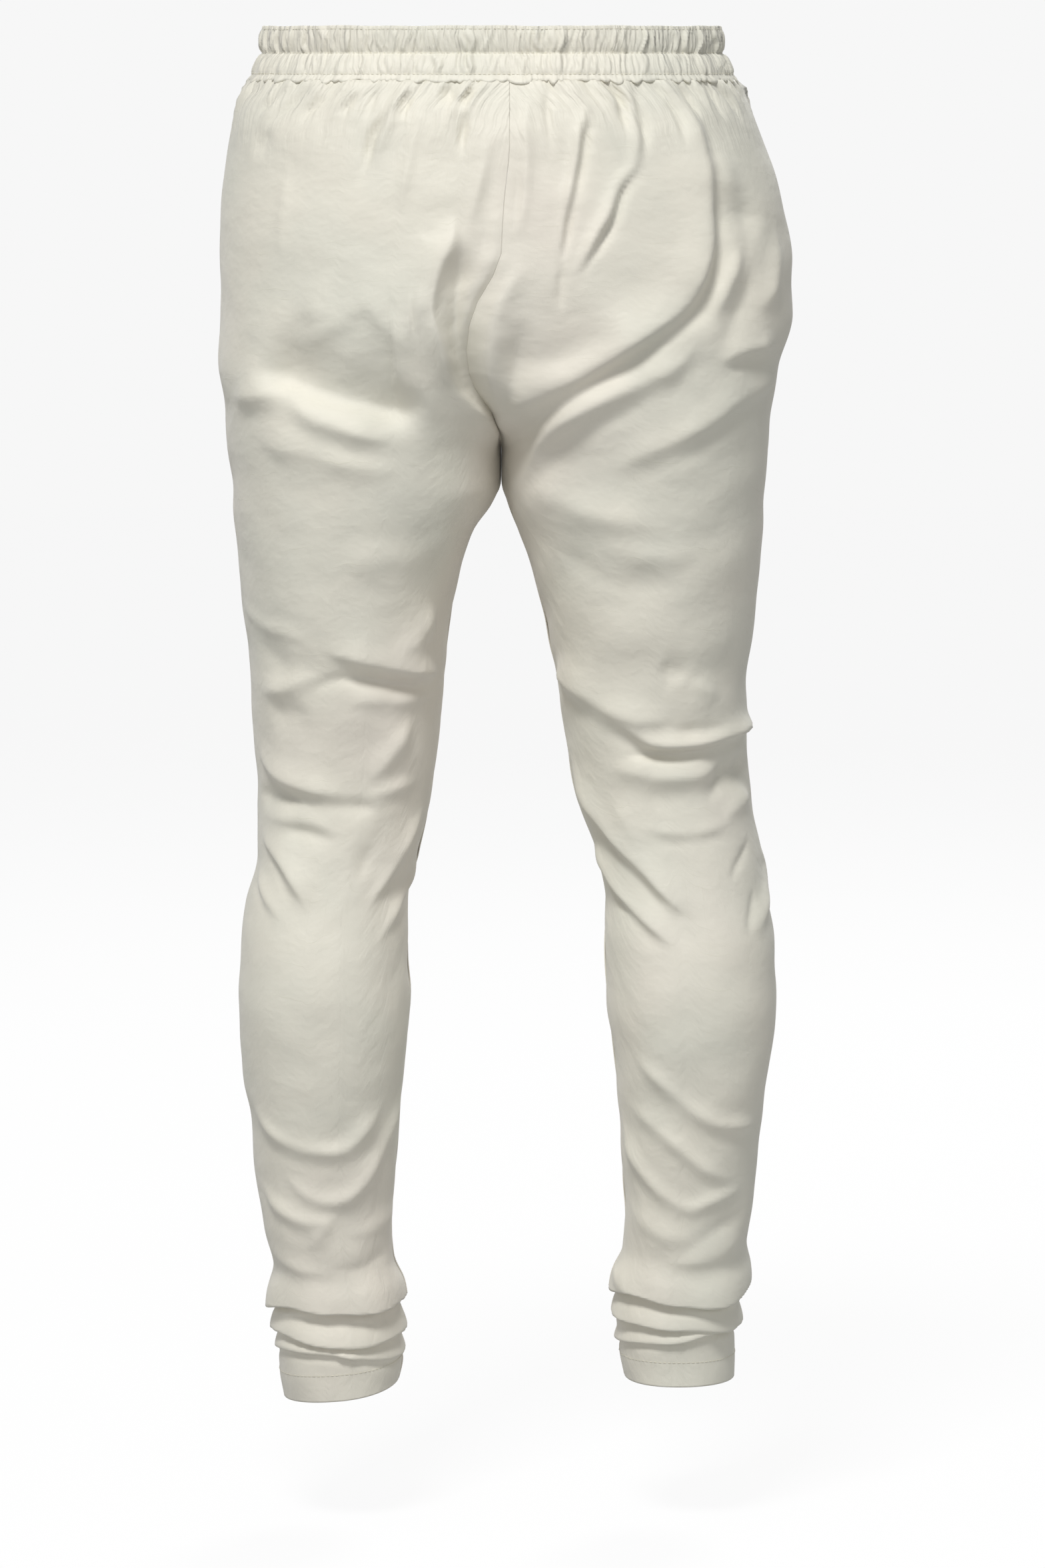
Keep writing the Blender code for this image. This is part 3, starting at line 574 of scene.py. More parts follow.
class Ovals:
    """The ovals of one leg at the heights z, with the turns where the middle seams cut them."""

    def __init__(self, leg, z):
        def at_heights(name, leg_name=None):
            hips = curve_through(HIPS, name, z)
            return np.where(self.whole, curve_through(LEGS, leg_name or name, z), hips)

        self.side = SIDES[leg]
        self.whole = z <= CROTCH
        out = at_heights(f"{leg}_out")
        self.middle = at_heights("seam", f"{leg}_in")
        back, front = at_heights("back"), at_heights("front")
        share = np.clip((CLEFT_TOP - z) / (CLEFT_TOP - CROTCH), 0, 1)
        cleft = np.where(self.whole, 1.0, np.sin(math.pi / 2 * share**CLEFT_SHAPE))
        self.half_width = np.abs(out - self.middle) / (1 + cleft)
        self.centre_x = out - self.side * self.half_width
        self.centre_y = (back - front) / 2
        self.half_depth = (back + front) / 2
        self.end = np.arctan2((1 - cleft**SQUARENESS) ** (1 / SQUARENESS), -cleft)

    def points(self, turns):
        """x and y where turns holds one row of turns for each height: 0 is the side seam."""
        c, s = np.cos(turns), np.sin(turns)
        r = (np.abs(c) ** SQUARENESS + np.abs(s) ** SQUARENESS) ** (-1 / SQUARENESS)
        x = self.centre_x[:, None] + self.side * self.half_width[:, None] * r * c
        return x, self.centre_y[:, None] + self.half_depth[:, None] * r * s


def row_heights():
    heights = [BAND_BOTTOM - SEAM_GAP]
    for rows in ROW_PLAN:
        start = heights[-1]
        steps = max(1, round((start - rows.down_to) / rows.apart))
        heights += list(np.linspace(start, rows.down_to, steps + 1)[1:])
    heights = np.array(heights)
    # The fork of the legs closes in a round curve, so its last rows follow the turn of that curve
    cut = (1 + np.tan(FORK_TURNS) ** SQUARENESS) ** (-1 / SQUARENESS)
    share = (np.arcsin(cut) * 2 / math.pi) ** (1 / CLEFT_SHAPE)
    fork = CLEFT_TOP - share * (CLEFT_TOP - CROTCH)
    kept = heights[(heights > fork[0] + 1) | (heights < CROTCH - 0.5)]
    return np.sort(np.concatenate([kept, fork, [CROTCH]]))[::-1]


def round_the_leg(values, turns):
    """Values given at equal turns round the leg, as a smooth closed curve."""
    values = np.array(values, float)
    n = len(values)
    place = np.mod(turns / (2 * math.pi), 1.0) * n
    i = np.floor(place).astype(int) % n
    t = place - np.floor(place)
    a, b, c, d = (values[(i + k) % n] for k in (-1, 0, 1, 2))
    return between(a, b, c, d, t)


def smooth_route(points, apart=4.0):
    """A route of a few points as a smooth run of many, about so many mm apart."""
    points = np.array(points, float)
    if len(points) == 2:
        points = np.array([points[0], points.mean(axis=0), points[1]])
    padded = np.concatenate([[2 * points[0] - points[1]], points, [2 * points[-1] - points[-2]]])
    run = [points[0]]
    for a, b, c, d in zip(padded, padded[1:], padded[2:], padded[3:]):
        steps = max(2, int(np.linalg.norm(c - b) / apart))
        run += [between(a, b, c, d, t) for t in np.linspace(0, 1, steps + 1)[1:]]
    return np.array(run)


def near_route(route, at):
    """For each place: distance from the route, which is negative below it, and length along it.
    The last value is the length of the whole route."""
    starts, runs = route[:-1], np.diff(route, axis=0)
    lengths = np.hypot(runs[:, 0], runs[:, 1])
    gap = at[:, None] - starts
    share = np.clip((gap * runs).sum(axis=2) / lengths**2, 0, 1)
    away = gap - share[..., None] * runs
    far = np.hypot(away[..., 0], away[..., 1])
    nearest = far.argmin(axis=1)
    rows = np.arange(len(at))
    away = away[rows, nearest]
    run = runs[nearest]
    upward = 1 if route[-1, 0] > route[0, 0] else -1
    side = np.where(run[:, 0] * away[:, 1] - run[:, 1] * away[:, 0] < 0, -upward, upward)
    before = np.concatenate([[0], lengths.cumsum()])[nearest]
    along = before + share[rows, nearest] * lengths[nearest]
    return side * far[rows, nearest], along, lengths.sum()


def seam_pull(z, from_middle):
    """How far the cloth beside the seat seam is dragged across."""
    pull = np.interp(-z, -column(SEAM_PULL, "z"), column(SEAM_PULL, "across"), left=0, right=0)
    return pull * bell(from_middle, SEAM_PULL_WIDTH)


class LegCloth:
    """The cloth of one whole leg as a grid: its columns run from the front middle edge, over the
    side seam, to the back middle edge, and its rows from the waistband to the hem."""

    def __init__(self, leg, columns):
        self.leg = leg
        self.side = SIDES[leg]
        self.columns = columns
        self.z = row_heights()
        self.ovals = Ovals(leg, self.z)
        shares = np.linspace(-1, 1, 2 * columns + 1)
        # The columns keep their places round the leg, and only those by the middle are squeezed
        short = (math.pi - self.ovals.end)[:, None]
        power = SQUEEZE_SHARE * math.pi / np.maximum(short, LEAST_TURN)
        squeeze = np.abs(shares) ** np.minimum(power, SQUEEZE_MOST)
        self.turns = math.pi * shares - short * np.sign(shares) * squeeze
        x, y = self.ovals.points(self.turns)
        tilt = smooth_step((HEM_TILT_FROM - self.z) / (HEM_TILT_FROM - HEM_LEVEL))[:, None]
        hem = HEMS[leg]
        hem_round = round_the_leg((hem.outer, hem.back, hem.inner, hem.front), self.turns)
        z = self.z[:, None] + tilt * (hem_round - HEM_LEVEL)
        self.base = np.stack([x, y, z], axis=2)
        steps = np.hypot(np.diff(x, axis=1), np.diff(y, axis=1))
        arc = np.concatenate([np.zeros((len(x), 1)), steps.cumsum(axis=1)], axis=1)
        self.girth = arc[:, -1].copy()
        self.arc = arc - arc[:, [columns]]
        self.lift = np.zeros(x.shape)
        self.drop = np.zeros(x.shape)
        whole = self.ovals.whole
        across = np.gradient(self.base, axis=1)
        level = np.stack([-across[..., 1], across[..., 0], 0 * across[..., 0]], axis=2)
        normals = unit(-level * self.side)
        shared = unit(normals[:, 0] + normals[:, -1])
        normals[whole, 0] = normals[whole, -1] = shared[whole]
        self.normals = unit(normals)

    def half(self, face):
        """The columns of the back or the front panel. Both have the side seam."""
        return slice(self.columns, None) if face == "back" else slice(0, self.columns + 1)

    def place(self, face, x, z):
        """A point seen at x, z on the back or the front, as distance round the leg and height."""
        row = int(np.clip(np.searchsorted(-self.z, -z), 0, len(self.z) - 1))
        half = self.half(face)
        xs, arcs = self.base[row, half, 0], self.arc[row, half]
        if face == "back":
            xs = xs + seam_pull(z, xs - self.ovals.middle[row])
        order = np.argsort(xs)
        return float(np.interp(x, xs[order], arcs[order])), z

    def press(self, route, shape, reach):
        """Adds a shape along a route, also where the route wraps over the inseam."""
        low, high = route.min(axis=0) - reach, route.max(axis=0) + reach
        heights = self.base[..., 2]
        for wrap in (0, -1, 1):
            arcs = self.arc + wrap * self.girth[:, None]
            near = (arcs > low[0]) & (arcs < high[0])
            near &= (heights > low[1]) & (heights < high[1])
            if wrap:
                near &= self.ovals.whole[:, None]
            if not near.any():
                continue
            at = np.stack([arcs[near], heights[near]], axis=1)
            lift, drop = shape(*near_route(route, at))
            self.lift[near] += lift
            self.drop[near] += drop

    def fold(self, fold, depth, phase):
        """Presses one fold of the table. Its phase sets where it is uneven."""
        route = smooth_route([self.place(fold.face, x, z) for x, z in fold.route])

        def shape(away, along, whole):
            taper = min(FOLD_END_SHARE * whole, FOLD_END_MOST)
            body = smooth_step(along / taper) * smooth_step((whole - along) / taper)
            waves = sum(share * np.sin(along / run + n * phase)
                        for n, (share, run) in enumerate(FOLD_WAVES, 1))
            uneven = 1 + min(1.0, FOLD_CALM_HEIGHT / abs(fold.out)) * waves
            half_width = np.where(away > 0, fold.above, fold.below)
            width = half_width * (FOLD_END_WIDTH + (1 - FOLD_END_WIDTH) * body)
            crest = np.exp(-(np.abs(away / width) ** FOLD_CREST_POWER))
            tuck = bell(away + TUCK_PLACE * fold.below, TUCK_WIDTH * fold.below)
            lift = depth * body * uneven * (fold.out * crest - fold.under * tuck)
            return lift, depth * body * uneven * fold.hang * crest

        self.press(route, shape, 3 * max(fold.above, fold.below))

    def gathers(self, seed):
        """Small pleats under the waistband: uneven, and fading on the way down."""
        pick = np.random.default_rng(seed)
        top, reach = BAND_BOTTOM + 2, 9
        at, end = self.arc[0, 0] + PLEAT_MARGIN, self.arc[0, -1] - PLEAT_MARGIN
        while at < end:
            long = PLEAT_LONG.least + PLEAT_LONG.more * pick.random() ** PLEAT_LONG_POWER
            wide = PLEAT_WIDE.least + PLEAT_WIDE.more * pick.random() + long / 50
            high = PLEAT_HIGH.least + PLEAT_HIGH.more * pick.random()
            high = high * (1 if pick.random() < PLEAT_RIDGES else PLEAT_TROUGH)
            lean = PLEAT_LEAN * np.sign(at) * (1 - min(abs(at) / PLEAT_LEAN_ENDS, 1))
            lean = lean + PLEAT_LEAN_DRAW * (pick.random() - 0.5)
            route = smooth_route([(at, top), (at + lean * long, top - long)])

            def shape(away, along, whole, high=high, wide=wide):
                fade = smooth_step((whole - along) / (0.9 * whole))
                crest = np.exp(-(np.abs(away / wide) ** PLEAT_CREST_POWER))
                return high * fade * crest, 0 * away

            self.press(route, shape, reach)
            at += wide * 1.5 + PLEAT_APART.least + PLEAT_APART.more * pick.random()

    def churi(self, depth):
        """Rings of spare length: the highest one at each place counts, and the cloth is tucked in
        where none is high."""
        z = self.base[..., 2]
        lift, drop, tuck = np.zeros(z.shape), np.zeros(z.shape), np.zeros(z.shape)
        for n, ring in enumerate(ring for ring in CHURI if ring.leg == self.leg):
            above = z - round_the_leg(ring.lips, self.turns)
            swell = np.where(above > 0, 1 - above / ring.above, 1 + above / ring.below)
            uneven = 1 + 0.16 * np.sin(3 * self.turns + 2 * n + self.side)
            uneven = uneven + 0.1 * np.sin(7 * self.turns + n - self.side)
            swell = smooth_step(swell) ** CHURI_SWELL_POWER
            lift = np.maximum(lift, ring.out * uneven * swell)
            place, width = CHURI_TUCK_PLACE * ring.below, CHURI_TUCK_WIDTH * ring.below
            tuck += CHURI_TUCK * bell(above + place, width)
            reach = np.where(above > 0, CHURI_HANG_ABOVE, CHURI_HANG_BELOW)
            drop += ring.hang * uneven * bell(above, reach)
        low = lift < CHURI_TUCK_UNDER
        self.lift += depth * (lift - tuck * low)
        self.drop += depth * drop

    def crumple(self, seed):
        """Very shallow waves that keep the tight cloth from looking pressed."""
        pick = np.random.default_rng(seed)
        z = self.base[..., 2]
        for _ in range(CRUMPLES):
            wave = pick.uniform(*CRUMPLE_WAVES)
            angle = pick.uniform(*CRUMPLE_ANGLES)
            along = self.arc * math.sin(angle) + z * math.cos(angle)
            across = self.arc * math.cos(angle) - z * math.sin(angle)
            height = pick.uniform(*CRUMPLE_HEIGHTS) * wave / CRUMPLE_SCALE
            bend = 1.6 * np.sin(across / pick.uniform(*CRUMPLE_BENDS))
            self.lift += height * np.sin(along * 2 * math.pi / wave + bend + pick.uniform(0, 6))

    def finish(self, seat_lift, fly_lift):
        """Moves the grid by its lifts and drops. The middle edges take the lifts that both legs
        share, and each leg stays on its own side."""
        z = self.base[..., 2]
        middle = self.ovals.middle[:, None]
        joined = smooth_step((z - CROTCH + JOINED_RUN) / JOINED_RUN)
        above_crotch = smooth_step((z - CROTCH) / ABOVE_CROTCH_RUN)
        to_back = self.arc[:, [-1]] - self.arc
        to_front = self.arc - self.arc[:, [0]]

        def by_a_seam(width):
            return bell(to_back, width) + bell(to_front, width)

        near_back, near_front = (bell(to, SEAM_SHARED) * joined for to in (to_back, to_front))
        lift = self.lift * (1 - near_back - near_front)
        lift += near_back * seat_lift[:, None] + near_front * fly_lift[:, None]
        deeper = smooth_step((TRENCH_DEEPER_FROM - z) / TRENCH_RUN)
        trench = TRENCH_DEPTH + TRENCH_DEEPER * deeper
        lift -= above_crotch * trench * by_a_seam(SEAM_TRENCH)
        normals = self.normals.copy()
        normals[..., 0] *= 1 - above_crotch * by_a_seam(SEAM_STRAIGHT)
        normals = unit(normals)
        held = HELD_LIFT + (1 - HELD_LIFT) * smooth_step((BAND_BOTTOM - z) / HELD_RUN)
        points = self.base + normals * (lift * held)[..., None]
        points[..., 2] -= self.drop
        inner = Ovals("left", self.z).middle, Ovals("right", self.z).middle
        limit = np.where(self.ovals.whole, sum(inner) / 2, self.ovals.middle)[:, None]
        own_side = np.maximum(self.side * (points[..., 0] - limit), SEAM_GAP / 2)
        points[..., 0] = limit + self.side * own_side
        on_back = smooth_step((self.base[..., 1] - BACK_FROM) / BACK_RUN)
        points[..., 0] += on_back * seam_pull(z, points[..., 0] - middle)
        self.points = points
        self.wall_normals = normals

    def path_lengths(self):
        """Length of the cloth down each column, which carries the weave."""
        steps = np.linalg.norm(np.diff(self.points, axis=0), axis=2)
        return np.concatenate([np.zeros((1, steps.shape[1])), steps.cumsum(axis=0)])


def leg_cloths(sizes):
    """Both legs with all their folds, and the lifts that they share along the middle seams."""
    legs = {}
    for leg in SIDES:
        cloth = LegCloth(leg, sizes.columns)
        for number, fold in enumerate(FOLDS):
            if fold.leg == leg:
                cloth.fold(fold, sizes.fold_depth, FOLD_PHASE * number)
        cloth.gathers(sizes.gather_seed + PLEAT_SEEDS[leg])
        cloth.churi(sizes.churi_depth)
        cloth.crumple(sizes.gather_seed + CRUMPLE_SEEDS[leg])
        legs[leg] = cloth
    left, right = legs["left"], legs["right"]
    away_from_crotch = smooth_step((left.z - CROTCH) / SHARED_RUN)
    seat = away_from_crotch * (left.lift[:, -1] + right.lift[:, -1]) / 2
    fly = away_from_crotch * (left.lift[:, 0] + right.lift[:, 0]) / 2
    lap = np.interp(-left.z, LAP_DEPTHS, LAP_SHARES)
    for leg, cloth in legs.items():
        roll = LAP_ROLLS[leg]
        to_back = cloth.arc[:, [-1]] - cloth.arc
        cloth.lift += lap[:, None] * (bell(to_back - roll.from_seam, roll.width) * roll.height)
    seat = seat - LAP_SINK * lap
    for cloth in legs.values():
        cloth.finish(seat, fly)
    return legs


def show(name, data):
    """Puts a mesh, a light or a camera into the scene, as an object at the origin."""
    obj = bpy.data.objects.new(name, data)
    bpy.context.scene.collection.objects.link(obj)
    return obj


def corner_points(mesh):
    """The point at each face corner of a mesh."""
    picked = np.empty(len(mesh.loops), np.int32)
    mesh.loops.foreach_get("vertex_index", picked)
    return picked


def finish_cloth(name, mesh, weave, material):
    """Gives a mesh the flat place of its weave at each face corner, in mm, and its material."""
    mesh.uv_layers.new(name="weave").data.foreach_set("uv", (weave * MM).ravel())
    smooth_shading(mesh)
    mesh.materials.append(material)
    return show(name, mesh)


def smooth_shading(mesh):
    mesh.polygons.foreach_set("use_smooth", np.ones(len(mesh.polygons), bool))


def grid_mesh(name, outer, inner, across, along, material):
    """A thin closed cloth between two grids, with its weave laid along a UV map in metres."""
    rows, columns = outer.shape[:2]
    count = rows * columns
    grid = np.arange(count).reshape(rows, columns)
    a, b, c, d = grid[:-1, :-1], grid[1:, :-1], grid[1:, 1:], grid[:-1, 1:]
    outside = np.stack([a, b, c, d], axis=2).reshape(-1, 4)
    inside = np.stack([a, d, c, b], axis=2).reshape(-1, 4) + count
    rim = np.concatenate([grid[0, :], grid[1:, -1], grid[-1, -2::-1], grid[-2:0:-1, 0]])
    ahead = np.roll(rim, -1)
    edge = np.stack([rim, ahead, ahead + count, rim + count], axis=1)
    points = np.concatenate([outer.reshape(-1, 3), inner.reshape(-1, 3)]) * MM
    faces = np.concatenate([outside, inside, edge])
    a, b, c = (points[outside[:, k]] for k in (0, 1, 2))
    facing = np.cross(b - a, c - a)
    outward = (outer - inner)[:-1, :-1].reshape(-1, 3)
    if (facing * outward).sum() < 0:
        faces = faces[:, ::-1]
    mesh = bpy.data.meshes.new(name)
    mesh.vertices.add(len(points))
    mesh.vertices.foreach_set("co", points.ravel())
    mesh.loops.add(faces.size)
    mesh.loops.foreach_set("vertex_index", faces.ravel().astype(np.int32))
    mesh.polygons.add(len(faces))
    mesh.polygons.foreach_set("loop_start", np.arange(0, faces.size, 4, dtype=np.int32))
    mesh.update(calc_edges=True)
    mesh.validate()
    flat = np.stack([across, along], axis=2).reshape(-1, 2)
    weave = np.concatenate([flat, flat])[corner_points(mesh)]
    return finish_cloth(name, mesh, weave, material)


# Gathers of the two elastic channels and of the ruffled lower edge: their pitch, as a share of the
# pitch of the gathers
GATHER_SETS = {"upper": 0.9, "lower": 1.1, "ruffle": 1.9}
GATHER_STEP = Draw(0.45, 1.1)  # distance to the next valley, as a share of the pitch
GATHER_STEP_POWER = 1.3
GATHER_HIGH = Draw(0.45, 0.55)  # height of a ridge, as a share, and how its width changes it
GATHER_WIDTHS = (0.5, 1.4)
GATHER_ROUND = 0.8  # power of the ridges: 1 is a sine, and less is rounder
GATHER_LOW = 0.45  # height at which a valley lies under the mean, as a share
SHARED_GATHERS = 0.4  # share of the upper gathers that run on into the lower channel
RUFFLE_OUT = 2.7  # how far the ruffle waves in and out, mm
RUFFLE_DOWN = 2.3  # and up and down
BAND_COUNT = 1100  # faces round the waistband


def uneven_gathers(girth, pitch, pick):
    """Valleys at uneven distances round a ring, and the height of the ridge after each."""
    steps = []
    while sum(steps) < girth:
        step = GATHER_STEP.least + GATHER_STEP.more * pick.random() ** GATHER_STEP_POWER
        steps.append(pitch * step)
    steps = np.array(steps) * girth / sum(steps)
    heights = GATHER_HIGH.least + GATHER_HIGH.more * pick.random(len(steps))
    heights = heights * np.clip(steps / pitch, *GATHER_WIDTHS)
    return np.concatenate([[0], steps.cumsum()]), heights


def gather_height(valleys, heights, arc):
    """Height of the gathers, from GATHER_LOW below the mean in a valley to about as much above."""
    k = np.clip(np.searchsorted(valleys, arc, side="right") - 1, 0, len(heights) - 1)
    share = (arc - valleys[k]) / (valleys[k + 1] - valleys[k])
    return heights[k] * np.sin(math.pi * np.clip(share, 0, 1)) ** GATHER_ROUND - GATHER_LOW


class BandRing:
    """The line round the waist where the band is sewn to the legs, and the way out from it."""

    def __init__(self, count):
        angle = 2 * math.pi * (np.arange(count + 1) + 0.5) / count
        left = np.sin(angle) > 0
        turns = np.where(left, math.pi / 2 - angle, angle - 3 * math.pi / 2)
        at, ahead = np.zeros((count + 1, 2)), np.zeros((count + 1, 2))
        for leg, picked in (("left", left), ("right", ~left)):
            ovals = Ovals(leg, np.array([BAND_BOTTOM]))
            for places, shift in ((at, 0.0), (ahead, 0.004)):
                x, y = ovals.points((turns + shift * np.where(left, -1, 1))[None])
                places[picked] = np.stack([x[0], y[0]], axis=1)[picked]
        along = unit(ahead - at)
        self.at = at
        self.out = np.stack([-along[:, 1], along[:, 0]], axis=1)
        if (self.out * at).sum() < 0:
            self.out = -self.out
        steps = np.linalg.norm(np.diff(at, axis=0), axis=1)
        self.arc = np.concatenate([[0], steps.cumsum()])


def band_surface(sizes, ring):
    """Points of the band as rows round the waist and columns over its profile."""
    pick = np.random.default_rng(sizes.gather_seed)
    girth = ring.arc[-1]
    pitch = sizes.gather_pitch / MM
    depth = sizes.gather_depth / MM

    def wave(times, phase=0.0):
        """A wave that goes up and down so many times round the waist."""
        return np.sin(ring.arc * 2 * math.pi * times / girth + phase)

    sets = {}
    for name, scale in GATHER_SETS.items():
        valleys, heights = uneven_gathers(girth, pitch * scale, pick)
        sets[name] = gather_height(valleys, heights, ring.arc)
        sets[name][-1] = sets[name][0]
    sets["lower"] = 0.75 * sets["lower"] + SHARED_GATHERS * sets["upper"]
    slow = 0.5 * (0.35 * wave(9) + 0.3 * wave(23, 1))
    rows = []
    for spot in BAND_PROFILE:
        lean = 1.3 * wave(31, 0.35 * spot.z) + 0.22 * spot.z * wave(17)
        at = np.mod(ring.arc + lean, girth)
        upper, lower, ruffle = (np.interp(at, ring.arc, heights) for heights in sets.values())
        out = spot.out + depth * (spot.upper * upper + spot.lower * lower)
        out = out + RUFFLE_OUT * spot.ruffle * ruffle + slow
        z = spot.z - spot.ruffle * (RUFFLE_DOWN * ruffle + slow) + slow * (spot.z > 16)
        flat = ring.at + ring.out * out[:, None]
        rows.append(np.concatenate([flat, z[:, None]], axis=1))
    return np.stack(rows, axis=1)


def past_the_join(index, count, length):
    """What is added to the weave's place at a face corner, where its face crosses the join of a
    closed loop of so many points and such a length. Four corners make a face."""
    ahead = np.repeat(index[::4], 4) - index
    return np.where(ahead > count / 2, length, 0) - np.where(-ahead > count / 2, length, 0)


def band_mesh(name, surface, arc, material):
    """The closed ring of the band: every profile is a closed loop."""
    around, across = surface.shape[0] - 1, surface.shape[1]
    points = surface[:-1].reshape(-1, 3) * MM
    grid = np.arange(around * across).reshape(around, across)
    a, b = grid, np.roll(grid, -1, axis=0)
    c, d = np.roll(b, -1, axis=1), np.roll(grid, -1, axis=1)
    faces = np.stack([a, d, c, b], axis=2).reshape(-1, 4)
    volume = 0.0
    for triangle in ((0, 1, 2), (0, 2, 3)):
        one, two, three = (points[faces[:, k]] for k in triangle)
        volume += (one * np.cross(two, three)).sum()
    if volume < 0:
        faces = faces[:, ::-1]
    mesh = bpy.data.meshes.new(name)
    mesh.from_pydata(points.tolist(), [], faces.tolist())
    high = np.concatenate([[0], np.linalg.norm(np.diff(surface[0], axis=0), axis=1).cumsum()])
    n, m = np.divmod(corner_points(mesh), across)
    u = arc[n] + past_the_join(n, around, arc[-1])
    v = high[m] + past_the_join(m, across, high[-1])
    return finish_cloth(name, mesh, np.stack([u, v], axis=1), material)


def feed(tree, target, value):
    """Links a socket or a Number to the target, or sets the target's own value."""
    if isinstance(value, Number):
        value = value.socket
    if isinstance(value, bpy.types.NodeSocket):
        tree.links.new(value, target)
    else:
        target.default_value = value


def add_node(tree, kind, settings=None, values=None):
    node = tree.nodes.new(kind)
    for key, value in (settings or {}).items():
        setattr(node, key, value)
    for key, value in (values or {}).items():
        feed(tree, node.inputs[key], value)
    return node


class Number:
    """A number in a material. Python's operators on it add Math nodes."""

    def __init__(self, shop, socket):
        self.shop = shop
        self.socket = socket

    def math(self, operation, *values):
        node = self.shop.node("ShaderNodeMath", {"operation": operation}, dict(enumerate(values)))
        return Number(self.shop, node.outputs[0])

    def __add__(self, other):
        return self.math("ADD", self, other)

    def __sub__(self, other):
        return self.math("SUBTRACT", self, other)

    def __mul__(self, other):
        return self.math("MULTIPLY", self, other)

    def __rsub__(self, other):
        return self.math("SUBTRACT", other, self)

    __radd__ = __add__
    __rmul__ = __mul__

    def sine(self):
        return self.math("SINE", self)

    def above(self, low, high):
        """0 below low, 1 above high."""
        settings = {"interpolation_type": "SMOOTHSTEP"}
        values = {"Value": self, "From Min": low, "From Max": high}
        return Number(self.shop, self.shop.node("ShaderNodeMapRange", settings, values).outputs[0])


class Shop:
    """Builds one material."""

    def __init__(self, name):
        self.material = bpy.data.materials.new(name)
        self.material.use_nodes = True
        self.tree = self.material.node_tree
        self.shader = self.tree.nodes["Principled BSDF"]

    def node(self, kind, settings=None, values=None):
        return add_node(self.tree, kind, settings, values)

    def paint(self, **values):
        """Sets or links sockets of the shader. Words in their names are joined by underscores."""
        for name, value in values.items():
            feed(self.tree, self.shader.inputs[name.replace("_", " ")], value)

    def bump(self, height):
        """Normals of the surface after it is raised by so many metres."""
        values = {"Strength": 1.0, "Distance": 1.0, "Height": height}
        return self.node("ShaderNodeBump", None, values).outputs[0]

    def object_place(self):
        return self.node("ShaderNodeTexCoord").outputs["Object"]

    def noise(self, at, scale, detail=2.0, rough=0.5, stretch=(1, 1, 1), turn=(0, 0, 0)):
        values = {"Vector": at, "Scale": stretch, "Rotation": turn}
        laid = self.node("ShaderNodeMapping", None, values)
        values = {"Vector": laid.outputs[0], "Scale": scale, "Detail": detail, "Roughness": rough}
        return Number(self, self.node("ShaderNodeTexNoise", None, values).outputs[0])

    def blend(self, share, first, second, how="MIX"):
        settings = {"data_type": "RGBA", "blend_type": how}
        node = self.node("ShaderNodeMix", settings, {0: share, 6: first, 7: second})
        return node.outputs[2]


WEAVE_PITCH = 0.00055  # of two threads, metres
WEAVE_HEIGHT = 0.00002
SLUB_HEIGHT = 0.00004
CREASE_HEIGHT = 0.0003
DRAG_HEIGHT = 0.00025
SOFT_FOLD_HEIGHT = 0.0018
PLEATS_FADE = (0.002, 0.075)  # distances below the top edge, metres
SHEEN = 0.18


def cotton(name, colours, slubs, crinkle, gathered):
    """Cream cotton satin: a fine weave, slubs along the weft, uneven tint, and small crinkles.
    slubs and crinkle are shares, and gathered is the height in metres of the fine pleats that run
    down from the top edge."""
    shop = Shop(name)
    place = shop.object_place()
    flat = shop.node("ShaderNodeUVMap", {"uv_map": "weave"}).outputs[0]
    parts = shop.node("ShaderNodeSeparateXYZ", None, {0: flat})
    across, along = Number(shop, parts.outputs[0]), Number(shop, parts.outputs[1])
    thread = 2 * math.pi / WEAVE_PITCH
    weave = (across * thread).sine() * (along * thread).sine()
    weft = shop.noise(flat, 1.0, 3.0, 0.6, (16, 620, 1))
    warp = shop.noise(flat, 1.0, 3.0, 0.6, (560, 9, 1))
    slub = weft.above(0.60, 0.74) + 0.6 * warp.above(0.62, 0.76)
    patches = shop.noise(place, 7.0, 3.0, 0.55).above(0.38, 0.66)
    rosy = shop.noise(place, 5.0, 2.0, 0.5, (1, 1, 0.8), (0.4, 0.2, 0.9)).above(0.50, 0.72)
    tone = shop.blend(patches, (*colours.cloth, 1), (*colours.cloth_cool, 1))
    tone = shop.blend(0.55 * rosy, tone, (*colours.cloth_warm, 1))
    tone = shop.blend(slubs * slub, tone, (0.93, 0.93, 0.90, 1), "MULTIPLY")
    roughness = 0.50 + 0.16 * patches - 0.05 * slub
    creases = shop.noise(place, 62.0, 4.0, 0.55, (1, 1, 1.5), (0.3, 0.5, 0.2))
    drags = shop.noise(flat, 1.0, 2.0, 0.5, (34, 90, 1), (0, 0, 0.5))
    bent = shop.noise(flat, 1.0, 2.0, 0.5, (22, 34, 1))
    leaning = shop.node("ShaderNodeCombineXYZ", None, {0: across + 0.016 * bent, 1: along})
    pleats = shop.noise(leaning.outputs[0], 1.0, 2.0, 0.55, (150, 14, 1))
    fading = 1 - along.above(*PLEATS_FADE)
    folds = shop.noise(leaning.outputs[0], 1.0, 3.0, 0.5, (26, 38, 1), (0, 0, 0.7))
    height = WEAVE_HEIGHT * weave + SLUB_HEIGHT * slub + gathered * fading * pleats
    crinkles = CREASE_HEIGHT * creases + DRAG_HEIGHT * drags + SOFT_FOLD_HEIGHT * folds
    shop.paint(Base_Color=tone, Roughness=roughness, Normal=shop.bump(height + crinkle * crinkles),
               Metallic=0.0, Sheen_Weight=SHEEN, Sheen_Roughness=0.45, IOR=1.42)
    return shop.material


